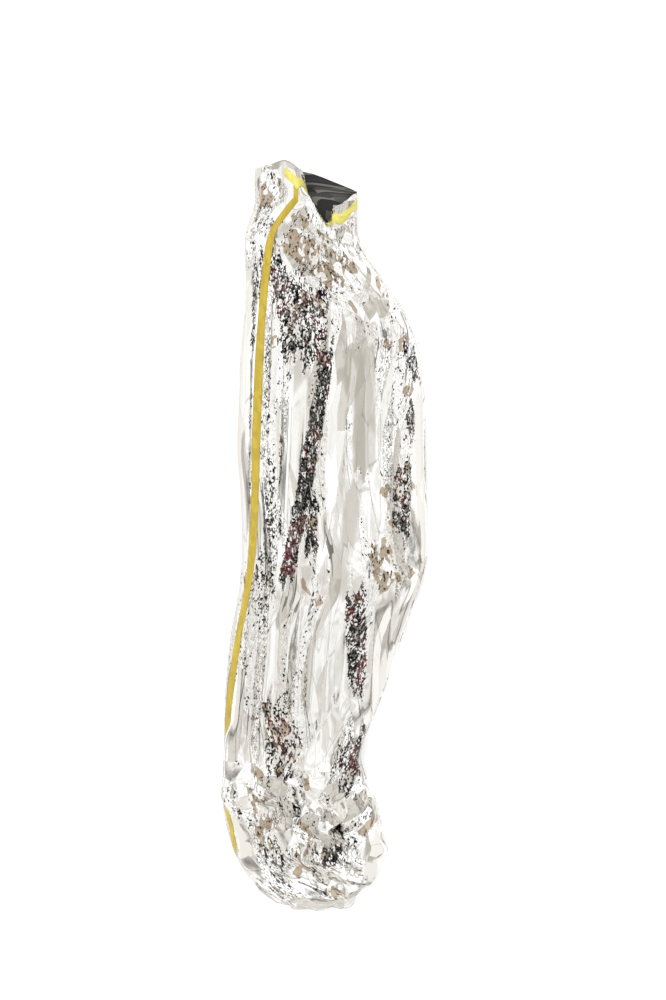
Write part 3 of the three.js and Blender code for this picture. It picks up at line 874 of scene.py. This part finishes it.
def ladder(row, fold):
    """Faces across the end of the bag, between the section's run out to its fold and its run back."""
    out = list(range(fold))
    back = list(range(len(row) - 2, fold, -1))

    def rung(i, j):
        if i >= len(out) or j >= len(back):
            return math.inf
        return float(np.linalg.norm(row[out[i]] - row[back[j]]))

    faces = [(out[0], len(row) - 1, back[0])]
    i = j = 0
    while i < len(out) - 1 or j < len(back) - 1:
        if rung(i + 1, j) <= rung(i, j + 1):
            faces.append((out[i + 1], out[i], back[j]))
            i += 1
        else:
            faces.append((back[j], back[j + 1], out[i]))
            j += 1
    faces.append((fold, out[i], back[j]))
    return faces


def grid_faces(rows, columns, closed):
    count = columns if closed else columns - 1
    faces = []
    for j in range(rows - 1):
        for i in range(count):
            k = (i + 1) % columns
            faces.append((j * columns + i, j * columns + k, (j + 1) * columns + k, (j + 1) * columns + i))
    return faces


def to_frame(points):
    """Points of the tables as the frame's metres."""
    return (points - np.array([*CENTRE, 0])) * MM


def film_mesh(name, points, u, v, closed, cap=(), finish=None):
    """A mesh over rows of points, with the film's flat coordinates, in metres, as its UV map."""
    rows, columns = points.shape[:2]
    faces = grid_faces(rows, columns, closed) + [tuple(face) for face in cap]
    mesh = bpy.data.meshes.new(name)
    mesh.from_pydata(to_frame(points).reshape(-1, 3).tolist(), [], faces)
    layer = mesh.uv_layers.new(name="flat")
    corners = np.array([vertex for face in faces for vertex in face])
    quads = 4 * (len(faces) - len(cap))
    row, column = corners // columns, corners % columns
    if closed:
        place = np.arange(len(corners))
        far = (place < quads) & np.isin(place % 4, (1, 2)) & (column == 0)
        column = np.where(far, columns, column)
    flat = np.stack([u[row, column], v[row, np.minimum(column, v.shape[1] - 1)]], axis=1) * MM
    layer.data.foreach_set("uv", flat.ravel())
    if finish is not None:
        attribute = mesh.attributes.new("finish", "FLOAT_COLOR", "POINT")
        attribute.data.foreach_set("color", finish.reshape(-1))
    mesh.polygons.foreach_set("use_smooth", [True] * len(faces))
    mesh.update()
    return mesh


def add_piece(name, mesh, thickness, materials, node):
    """A thin sheet that stands for a node of the frame: its outer skin has the first material."""
    for material in materials:
        mesh.materials.append(material)
    piece = bpy.data.objects.new(name, mesh)
    bpy.context.scene.collection.objects.link(piece)
    solidify = piece.modifiers.new("thickness", "SOLIDIFY")
    solidify.thickness = thickness
    solidify.offset = 0
    solidify.material_offset = len(materials) - 1
    with bpy.context.temp_override(object=piece, active_object=piece, selected_objects=[piece]):
        bpy.ops.object.modifier_apply(modifier=solidify.name)
    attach(piece, "root")
    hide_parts(node)


# Node helpers


class Nodes:
    """Adds and joins the nodes of one tree."""

    def __init__(self, tree):
        self.tree = tree

    def add(self, kind, inputs=None, **settings):
        node = self.tree.nodes.new(kind)
        for key, value in settings.items():
            setattr(node, key, value)
        for key, value in (inputs or {}).items():
            self.feed(node.inputs[key], value)
        return node

    def feed(self, socket, value):
        if isinstance(value, bpy.types.NodeSocket):
            self.tree.links.new(value, socket)
        else:
            socket.default_value = value

    def math(self, operation, a, b=0.0, clamp=False):
        node = self.add("ShaderNodeMath", {0: a, 1: b}, operation=operation, use_clamp=clamp)
        return node.outputs[0]

    plus = functools.partialmethod(math, "ADD")
    minus = functools.partialmethod(math, "SUBTRACT")
    times = functools.partialmethod(math, "MULTIPLY")
    power = functools.partialmethod(math, "POWER")
    larger = functools.partialmethod(math, "MAXIMUM")
    below = functools.partialmethod(math, "LESS_THAN")
    above = functools.partialmethod(math, "GREATER_THAN")

    def noise(self, place, scale, detail):
        inputs = {"Vector": place, "Scale": scale, "Detail": detail}
        return self.add("ShaderNodeTexNoise", inputs).outputs

    def vector(self, operation, a, b=(0, 0, 0)):
        return self.add("ShaderNodeVectorMath", {0: a, 1: b}, operation=operation).outputs[0]

    def scaled(self, vector, factor):
        node = self.add("ShaderNodeVectorMath", {0: vector}, operation="SCALE")
        self.feed(node.inputs["Scale"], factor)
        return node.outputs[0]

    def mix(self, share, a, b):
        node = self.add("ShaderNodeMix", data_type="RGBA")
        self.feed(node.inputs["Factor"], share)
        self.feed(node.inputs[6], a)
        self.feed(node.inputs[7], b)
        return node.outputs[2]


def opaque(colour):
    return (*colour, 1)


# The middle of a random colour's channels
MIDDLE = (0.5, 0.5, 0.5)

# The cloud that facets' edges wander with
WANDER_SCALE = 60.0
WANDER_DETAIL = 2.0


def crinkle_group():
    """Flat facets of random tilt over the film: their tilt, two random values and the way to their edge."""
    name = "Crinkled facets"
    if name in bpy.data.node_groups:
        return bpy.data.node_groups[name]
    tree = bpy.data.node_groups.new(name, "ShaderNodeTree")
    new_socket = tree.interface.new_socket
    new_socket("Vector", in_out="INPUT", socket_type="NodeSocketVector")
    for label in ("Across", "Along", "Tilt", "Wander"):
        new_socket(label, in_out="INPUT", socket_type="NodeSocketFloat")
    new_socket("Tilted", in_out="OUTPUT", socket_type="NodeSocketVector")
    for label in ("Chance", "Other chance", "Edge"):
        new_socket(label, in_out="OUTPUT", socket_type="NodeSocketFloat")
    nodes = Nodes(tree)
    given = nodes.add("NodeGroupInput").outputs
    noise = nodes.noise(given["Vector"], WANDER_SCALE, WANDER_DETAIL)
    wander = nodes.scaled(nodes.vector("SUBTRACT", noise["Color"], MIDDLE), given["Wander"])
    place = nodes.vector("ADD", given["Vector"], wander)
    cell = nodes.add("ShaderNodeCombineXYZ", {"X": given["Across"], "Y": given["Along"], "Z": 1.0})
    stretched = {"Vector": nodes.vector("DIVIDE", place, cell.outputs[0]), "Scale": 1.0}
    cells, edges = (
        nodes.add("ShaderNodeTexVoronoi", stretched, voronoi_dimensions="2D", feature=feature).outputs
        for feature in ("F1", "DISTANCE_TO_EDGE")
    )
    parts = nodes.add("ShaderNodeSeparateColor", {"Color": cells["Color"]}).outputs
    tilted = nodes.scaled(nodes.vector("SUBTRACT", cells["Color"], MIDDLE), given["Tilt"])
    nodes.add(
        "NodeGroupOutput",
        {"Tilted": tilted, "Chance": parts[2], "Other chance": parts[0], "Edge": edges["Distance"]},
    )
    return tree


def new_material(name):
    material = bpy.data.materials.new(name)
    material.use_nodes = True
    material.node_tree.nodes.clear()
    return material, Nodes(material.node_tree)


def flat_place(nodes):
    """The film's flat coordinates, in metres."""
    return nodes.add("ShaderNodeUVMap", uv_map="flat").outputs[0]


# Layers of facets over the flat film, in metres: their size across and along, their tilt, and how far
# their edges wander
Facets = namedtuple("Facets", "across along tilt wander")
LONG_PANELS = Facets(0.024, 0.170, 0.17, 0.004)
SHORT_PANELS = Facets(0.034, 0.036, 0.50, 0.002)
SHARDS = Facets(0.0065, 0.0150, 0.36, 0.005)
FINE_SHARDS = Facets(0.0029, 0.0042, 0.50, 0.0012)
# Cells that choose where brown and red reflections are painted
REFLECTION_CELLS = Facets(0.021, 0.026, 0.0, 0.001)
INNER_CREASES = Facets(0.016, 0.030, 0.25, 0.006)
TAPE_CREASES = Facets(0.010, 0.016, 0.16, 0.008)


def facets(nodes, place, layer, strength=None):
    """One layer of facets, tilted as strongly as asked."""
    tilt = layer.tilt if strength is None else nodes.times(strength, layer.tilt)
    sizes = {"Across": layer.across, "Along": layer.along, "Wander": layer.wander}
    inputs = {"Vector": place, "Tilt": tilt, **sizes}
    return nodes.add("ShaderNodeGroup", inputs, node_tree=crinkle_group()).outputs


def tilted_normal(nodes, tilts):
    """The surface's normal with each layer's tilt added."""
    normal = nodes.add("ShaderNodeNewGeometry").outputs["Normal"]
    for tilt in tilts:
        normal = nodes.vector("ADD", normal, tilt)
    return nodes.vector("NORMALIZE", normal)


def add_surface(nodes, inputs):
    """The material's surface."""
    shader = nodes.add("ShaderNodeBsdfPrincipled", inputs)
    nodes.add("ShaderNodeOutputMaterial", {"Surface": shader.outputs[0]})


# Distances along the flat film, in metres, beyond which it is crumpled both ways
FOOT_ZONE = -0.50
COLLAR_ZONE = 0.57

# Shares of the panels that are crinkled, that get a painted warm reflection and that get a painted beige
# reflection, and how crinkled the others are
CRINKLED_SHARE = 0.58
LEAST_CRINKLE = 0.12
WARM_REFLECTION_SHARE = 0.44
BEIGE_REFLECTION_SHARE = 0.13
# How strongly a place takes its lean to the painted beige reflection or to white
BEIGE_REFLECTION_PULL = 1.8
WHITE_PULL = 2.0

# Painted shade along creases: how wide those round panels and shards are, as shares of a facet, how strong
# their painted shade is, and the random value from which panels have them
PANEL_CREASE = 0.024
PANEL_CREASE_SHADE = 0.36
CREASED_FROM = 0.45
SHARD_CREASE = 0.05
SHARD_CREASE_SHADE = 0.45

# Long thin creases down the body, painted dark as shade where two clouds cross: each one's size across and
# along, the value that it shows at, and how near to it
STREAKS = ((0.019, 0.42, 0.5, 0.014), (0.043, 0.42, 0.62, 0.07))
STREAK_SHADE = 0.7
STREAK_CRINKLE = 0.2

# Facets with a painted brown reflection: their share of a patch that asks for it, how strongly it is
# painted, and the silver flecks in them
BROWN_REFLECTION_SHARE = 0.85
BROWN_REFLECTION_STRENGTH = 0.92
FLECKS_FROM = 0.76
FLECK_CRINKLE = 0.45

# Shards with a painted dark reflection: the part that the fine ones have in the choice, their share of a
# patch of painted dark reflection and shade and of a crinkled panel, how seldom their painted reflection is
# grey, and which of them get a painted red reflection
FINE_PART = 0.55
DARK_SHARE = 1.13
CRINKLED_DARK = 0.29
GREY_POWER = 3.0
RED_SHARE = 0.30
RED_FROM = 0.42

# Roughness: the smoothest, and how much rougher the roughest shard is
GLOSS = 0.08
GLOSS_SPREAD = 0.10


# Painted shade: where the long thin creases are painted dark
def shade_streaks(nodes, place):
    masks = []
    for across, along, middle, reach in STREAKS:
        stretched = nodes.vector("DIVIDE", place, (across, along, 1.0))
        away = nodes.math("ABSOLUTE", nodes.minus(nodes.noise(stretched, 1.0, 1.0)["Fac"], middle))
        masks.append(nodes.below(away, reach))
    return nodes.times(nodes.times(*masks), STREAK_SHADE)


def film_material(looks):
    """Mirror-bright film: long calm or crinkled panels, with shards of painted black reflection and of
    painted reflection of a warm, dim light where they show, and more reflection and shade painted into its
    colour.
    """
    material, nodes = new_material("crinkled silver film")
    place = flat_place(nodes)
    along = nodes.add("ShaderNodeSeparateXYZ", {"Vector": place}).outputs["Y"]
    finish = nodes.add("ShaderNodeAttribute", attribute_name="finish").outputs
    dark, brown, crinkle = nodes.add("ShaderNodeSeparateColor", {"Color": finish["Color"]}).outputs
    # Panels: long ones down the body, and short ones at the foot and the collar
    short_zone = nodes.larger(nodes.below(along, FOOT_ZONE), nodes.above(along, COLLAR_ZONE))
    long = facets(nodes, place, LONG_PANELS)
    short = facets(nodes, place, SHORT_PANELS)
    labels = ("Tilted", "Chance", "Other chance", "Edge")
    tilt, chance, other, rim = (nodes.mix(short_zone, long[label], short[label]) for label in labels)
    rough_panel = nodes.larger(nodes.below(chance, CRINKLED_SHARE), LEAST_CRINKLE)
    busy = nodes.larger(nodes.times(crinkle, rough_panel), dark)
    # Shards within the panels
    fine = facets(nodes, place, FINE_SHARDS, busy)
    shards = facets(nodes, place, SHARDS, busy)
    # Whole panels are silver or get a painted warm or beige reflection, and patches lean to the painted
    # beige reflection or to silver
    colour = nodes.mix(nodes.below(other, WARM_REFLECTION_SHARE), opaque(looks.silver), opaque(looks.warm))
    colour = nodes.mix(nodes.below(other, BEIGE_REFLECTION_SHARE), colour, opaque(looks.beige))
    to_beige_reflection = nodes.times(nodes.minus(finish["Alpha"], 0.5), BEIGE_REFLECTION_PULL, clamp=True)
    to_white = nodes.times(nodes.minus(0.5, finish["Alpha"]), WHITE_PULL, clamp=True)
    colour = nodes.mix(to_white, nodes.mix(to_beige_reflection, colour, opaque(looks.beige)), opaque(looks.silver))
    # Painted shade along the creases round the panels and the shards, and painted shade in long streaks down
    # the crinkled body
    grey_shade_and_reflection = nodes.times(nodes.below(rim, PANEL_CREASE), nodes.above(other, CREASED_FROM))
    shard_crease_shade = nodes.times(nodes.below(shards["Edge"], SHARD_CREASE), busy)
    lines = nodes.larger(
        nodes.times(grey_shade_and_reflection, PANEL_CREASE_SHADE), nodes.times(shard_crease_shade, SHARD_CREASE_SHADE)
    )
    colour = nodes.mix(lines, colour, opaque(looks.grey_shade_and_reflection))
    lively = nodes.times(nodes.above(crinkle, STREAK_CRINKLE), nodes.minus(1.0, short_zone))
    colour = nodes.mix(nodes.times(shade_streaks(nodes, place), lively), colour, opaque(looks.dark))
    # Painted reflections: whole small facets get a painted brown reflection, and shards a painted black,
    # grey or red one
    reflection_cells = facets(nodes, place, REFLECTION_CELLS)
    is_brown_reflection = nodes.below(reflection_cells["Chance"], nodes.times(brown, BROWN_REFLECTION_SHARE))
    flecks = nodes.times(nodes.above(shards["Chance"], FLECKS_FROM), nodes.above(crinkle, FLECK_CRINKLE))
    brown_reflection_share = nodes.times(is_brown_reflection, nodes.minus(BROWN_REFLECTION_STRENGTH, flecks, clamp=True))
    colour = nodes.mix(brown_reflection_share, colour, opaque(looks.brown))
    dice = nodes.plus(nodes.times(fine["Chance"], FINE_PART), nodes.times(shards["Chance"], 1 - FINE_PART))
    share = nodes.larger(nodes.times(dark, DARK_SHARE), nodes.times(busy, CRINKLED_DARK))
    shade = nodes.power(fine["Other chance"], GREY_POWER)
    reflects_red = nodes.times(nodes.below(reflection_cells["Other chance"], RED_SHARE), nodes.above(dark, RED_FROM))
    deep = nodes.mix(reflects_red, opaque(looks.dark), opaque(looks.red_reflection))
    colour = nodes.mix(nodes.below(dice, share), colour, nodes.mix(shade, deep, opaque(looks.grey_shade_and_reflection)))
    roughness = nodes.plus(nodes.times(shards["Other chance"], GLOSS_SPREAD), GLOSS)
    normal = tilted_normal(nodes, [fine["Tilted"], shards["Tilted"], tilt])
    add_surface(nodes, {"Base Color": colour, "Metallic": 1.0, "Roughness": roughness, "Normal": normal})
    return material


# The film's inside: how seldom it is lit, and its metal and roughness
INNER_LIT_POWER = 5.0
INNER_METAL = 0.6
INNER_ROUGHNESS = 0.45


def inner_material(looks):
    """The film's inside, which lies in the bag's own shade."""
    material, nodes = new_material("shaded inside of the film")
    place = flat_place(nodes)
    creases = facets(nodes, place, INNER_CREASES)
    lit = nodes.power(creases["Chance"], INNER_LIT_POWER)
    colour = nodes.mix(lit, opaque(looks.inside), opaque(looks.grey_shade_and_reflection))
    normal = tilted_normal(nodes, [creases["Tilted"]])
    gloss = {"Metallic": INNER_METAL, "Roughness": INNER_ROUGHNESS}
    add_surface(nodes, {"Base Color": colour, "Normal": normal, **gloss})
    return material


# The tapes: the cloud over them, how far their tone swings about the given colour, and their roughness
TAPE_CLOUD_SCALE = 30.0
TAPE_CLOUD_DETAIL = 4.0
TAPE_SWING = 0.42
TAPE_DEEP = 0.66
TAPE_LIGHT = 1.15
TAPE_LIFT = 0.02
TAPE_ROUGHNESS = 0.28
TAPE_ROUGHNESS_SPREAD = 0.2


def tape_material(name, colour):
    """Satin plastic tape, lightly wrinkled with the film under it."""
    material, nodes = new_material(name)
    place = flat_place(nodes)
    creases = facets(nodes, place, TAPE_CREASES)
    cloud = nodes.noise(place, TAPE_CLOUD_SCALE, TAPE_CLOUD_DETAIL)["Fac"]
    pale = nodes.times(nodes.plus(cloud, creases["Chance"]), TAPE_SWING, clamp=True)
    deep = tuple(TAPE_DEEP * part for part in colour)
    light = tuple(min(1, TAPE_LIGHT * part + TAPE_LIFT) for part in colour)
    roughness = nodes.plus(nodes.times(cloud, TAPE_ROUGHNESS_SPREAD), TAPE_ROUGHNESS)
    shade = nodes.mix(pale, opaque(deep), opaque(light))
    normal = tilted_normal(nodes, [creases["Tilted"]])
    add_surface(nodes, {"Base Color": shade, "Roughness": roughness, "Normal": normal})
    return material


class BAG_OT_film(bpy.types.Operator):
    """Build the bag's film with its folds, crumples and foil look, with reflections and shade painted into
    its colour
    """

    bl_idname = "foilbag.film"
    bl_label = "Film"

    def execute(self, context):
        film = laid_film()
        fold = next(i for i, column in enumerate(film.columns) if column.side == "fold")
        points = film.points + film.normals * FILM_OUT
        cap = ladder(points[0], fold)
        mesh = film_mesh("film", points, film.u, film.v, True, cap, film.finish)
        looks = context.scene.bag_looks
        materials = [film_material(looks), inner_material(looks)]
        add_piece("film", mesh, context.scene.bag_shape.film, materials, "bag_film")
        return {"FINISHED"}


def tape_piece(context, name, rows, columns, node, colour):
    """An open strip of tape over some of the film's rows and columns."""
    film = laid_film()
    points = (film.points + film.normals * TAPE_OUT)[rows, columns]
    mesh = film_mesh(name, points, film.u[rows, columns], film.v[rows, columns], False)
    material = tape_material(name.replace("_", " "), colour)
    add_piece(name, mesh, context.scene.bag_shape.tape, [material], node)

class BAG_OT_side_tape(bpy.types.Operator):
    """Lay the yellow tape along the bag's side seam"""

    bl_idname = "foilbag.side_tape"
    bl_label = "Side tape"

    def execute(self, context):
        columns = slice(LEFT_COLUMNS, LEFT_COLUMNS + SEAM_COLUMNS + 1)
        seam = laid_film().points[:, LEFT_COLUMNS + SEAM_COLUMNS // 2, 1]
        rows = slice(int(np.argmax(seam > SIDE_END)), LOWER_BAND + 1)
        tape_piece(context, "side_strip", rows, columns, "side_tape", context.scene.bag_looks.side)
        return {"FINISHED"}


class BAG_OT_mouth_tape(bpy.types.Operator):
    """Lay the yellow tape round the hem of the bag's mouth"""

    bl_idname = "foilbag.mouth_tape"
    bl_label = "Mouth tape"

    def execute(self, context):
        start = int(np.argmax(laid_film().points[LOWER_BAND, :, 0] > NAPE))
        rows = slice(LOWER_BAND, LOWER_BAND + BAND_ROWS + 1)
        columns = slice(start, None)
        tape_piece(context, "mouth_strip", rows, columns, "mouth_tape", context.scene.bag_looks.mouth)
        return {"FINISHED"}


class BAG_OT_foot_tape(bpy.types.Operator):
    """Lay the yellow tape along the foot seam, on the side that lies on the floor"""

    bl_idname = "foilbag.foot_tape"
    bl_label = "Foot tape"

    def execute(self, context):
        sides = [column.side for column in laid_film().columns]
        start = sides.index("floor")
        columns = slice(start, start + sides.count("floor"))
        rows = slice(0, FOOT_ROWS + 1)
        tape_piece(context, "foot_strip", rows, columns, "foot_tape", context.scene.bag_looks.foot)
        return {"FINISHED"}


# The stage


WHITE = (1, 1, 1, 1)

# The floor: how far it reaches, how far it lies below the bag's surface, and its roughness
FLOOR_REACH = 30.0
FLOOR_DROP = 0.0005
FLOOR_ROUGHNESS = 0.9

# The studio's light from the horizon, at 0, to straight overhead, at 1. The dim ring low round the bag is
# what its steeper facets catch
STUDIO = (
    (0.00, (0.70, 0.69, 0.67)),
    (0.15, (0.80, 0.79, 0.77)),
    (0.19, (0.36, 0.35, 0.335)),
    (0.26, (0.30, 0.29, 0.275)),
    (0.31, (0.80, 0.79, 0.77)),
    (0.50, (0.96, 0.96, 0.95)),
    (0.90, (1.0, 1.0, 1.0)),
    (0.97, (0.88, 0.87, 0.85)),
    (1.00, (0.84, 0.83, 0.81)),
)
STUDIO_STRENGTH = 1.24
# The clouds in it: their size, the value below which they are dim, how sharp they are, and how dim
CLOUD_SCALE = 4.5
CLOUD_EDGE = 0.46
CLOUD_SHARPNESS = 10.0
CLOUD_SHADE = (0.76, 0.745, 0.715)
BACKDROP = (0.93, 0.93, 0.93)

# The soft light: its strength, the angle that it fills and its turn, in degrees
SUN_STRENGTH = 1.1
SUN_ANGLE = 35
SUN_TURN = (-24, -28, 0)

# The camera's place over the bag, the height of the plan that it takes in, and its sensor in millimetres
VIEW_CENTRE = (0.0186, 0.0826)
VIEW_HEIGHT = 2.3
SENSOR = 36.0


def floor_material(looks):
    material, nodes = new_material("pale floor")
    inputs = {
        "Base Color": opaque(looks.floor),
        "Roughness": FLOOR_ROUGHNESS,
        "Specular IOR Level": 0.0,
        "Emission Color": WHITE,
        "Emission Strength": looks.glow,
    }
    add_surface(nodes, inputs)
    return material


def studio_world(strength):
    """A white, clouded studio overhead, with a dim ring low round the bag."""
    world = bpy.data.worlds.new("studio")
    world.use_nodes = True
    world.node_tree.nodes.clear()
    nodes = Nodes(world.node_tree)
    direction = nodes.add("ShaderNodeTexCoord").outputs["Generated"]
    parts = nodes.add("ShaderNodeSeparateXYZ", {"Vector": direction}).outputs
    ramp = nodes.add("ShaderNodeValToRGB", {"Fac": parts["Z"]})
    elements = ramp.color_ramp.elements
    while len(elements) < len(STUDIO):
        elements.new(0.5)
    for element, (place, colour) in zip(elements, STUDIO):
        element.position = place
        element.color = opaque(colour)
    cloud = nodes.noise(direction, CLOUD_SCALE, 0.0)["Fac"]
    cover = nodes.times(nodes.minus(cloud, CLOUD_EDGE), CLOUD_SHARPNESS, clamp=True)
    shaded = nodes.mix(cover, opaque(CLOUD_SHADE), WHITE)
    both = {"Factor": 1.0, 6: ramp.outputs[0], 7: shaded}
    lit = nodes.add("ShaderNodeMix", both, data_type="RGBA", blend_type="MULTIPLY").outputs[2]
    seen = nodes.add("ShaderNodeBackground", {"Color": opaque(BACKDROP), "Strength": 1.0})
    around = nodes.add("ShaderNodeBackground", {"Color": lit, "Strength": STUDIO_STRENGTH * strength})
    camera_ray = nodes.add("ShaderNodeLightPath").outputs["Is Camera Ray"]
    mixed = nodes.add("ShaderNodeMixShader", {0: camera_ray, 1: around.outputs[0], 2: seen.outputs[0]})
    nodes.add("ShaderNodeOutputWorld", {"Surface": mixed.outputs[0]})
    return world


def add_camera(height):
    data = bpy.data.cameras.new("camera")
    data.sensor_width = SENSOR
    data.lens = SENSOR * height / VIEW_HEIGHT
    camera = bpy.data.objects.new("camera", data)
    camera.location = (*VIEW_CENTRE, height)
    bpy.context.scene.collection.objects.link(camera)
    bpy.context.scene.camera = camera


def add_floor(looks):
    mesh = bpy.data.meshes.new("floor")
    corners = [(x * FLOOR_REACH, y * FLOOR_REACH, 0) for x, y in ((-1, -1), (1, -1), (1, 1), (-1, 1))]
    mesh.from_pydata(corners, [], [(0, 1, 2, 3)])
    mesh.materials.append(floor_material(looks))
    floor = bpy.data.objects.new("floor", mesh)
    floor.location.z = -FLOOR_DROP
    bpy.context.scene.collection.objects.link(floor)


def add_light(strength):
    data = bpy.data.lights.new("soft light", "SUN")
    data.energy = SUN_STRENGTH * strength
    data.angle = math.radians(SUN_ANGLE)
    light = bpy.data.objects.new("soft light", data)
    light.rotation_euler = [math.radians(angle) for angle in SUN_TURN]
    light.visible_glossy = False
    bpy.context.scene.collection.objects.link(light)


class BAG_OT_stage(bpy.types.Operator):
    """Set the pale floor, the soft light and the camera above the bag"""

    bl_idname = "foilbag.stage"
    bl_label = "Stage"

    def execute(self, context):
        looks = context.scene.stage_looks
        add_floor(looks)
        add_light(looks.light)
        context.scene.world = studio_world(looks.light)
        context.scene.view_settings.view_transform = "Standard"
        add_camera(looks.height)
        return {"FINISHED"}


class BAG_PT_panel(bpy.types.Panel):
    """Lists the bag's sizes, colours and pieces"""

    bl_idname = "BAG_PT_panel"
    bl_label = "Foil Bag"
    bl_space_type = "VIEW_3D"
    bl_region_type = "UI"
    bl_category = "Foil Bag"

    def draw(self, context):
        for group in (context.scene.bag_shape, context.scene.bag_looks, context.scene.stage_looks):
            for name in group.bl_rna.properties.keys():
                if name not in ("rna_type", "name"):
                    self.layout.prop(group, name)
        for operator in OPERATORS:
            self.layout.operator(operator.bl_idname)


OPERATORS = (BAG_OT_film, BAG_OT_side_tape, BAG_OT_mouth_tape, BAG_OT_foot_tape, BAG_OT_stage)
GROUPS = {"bag_shape": BagShape, "bag_looks": BagLooks, "stage_looks": StageLooks}


def register():
    for group in GROUPS.values():
        bpy.utils.register_class(group)
    for cls in (*OPERATORS, BAG_PT_panel):
        bpy.utils.register_class(cls)
    for name, group in GROUPS.items():
        setattr(bpy.types.Scene, name, bpy.props.PointerProperty(type=group))


def unregister():
    for name in GROUPS:
        delattr(bpy.types.Scene, name)
    for cls in (*OPERATORS, BAG_PT_panel, *GROUPS.values()):
        bpy.utils.unregister_class(cls)


def main():
    register()
    bpy.ops.foilbag.film()
    bpy.ops.foilbag.side_tape()
    bpy.ops.foilbag.mouth_tape()
    bpy.ops.foilbag.foot_tape()
    bpy.ops.foilbag.stage()


if __name__ == "__main__":
    main()
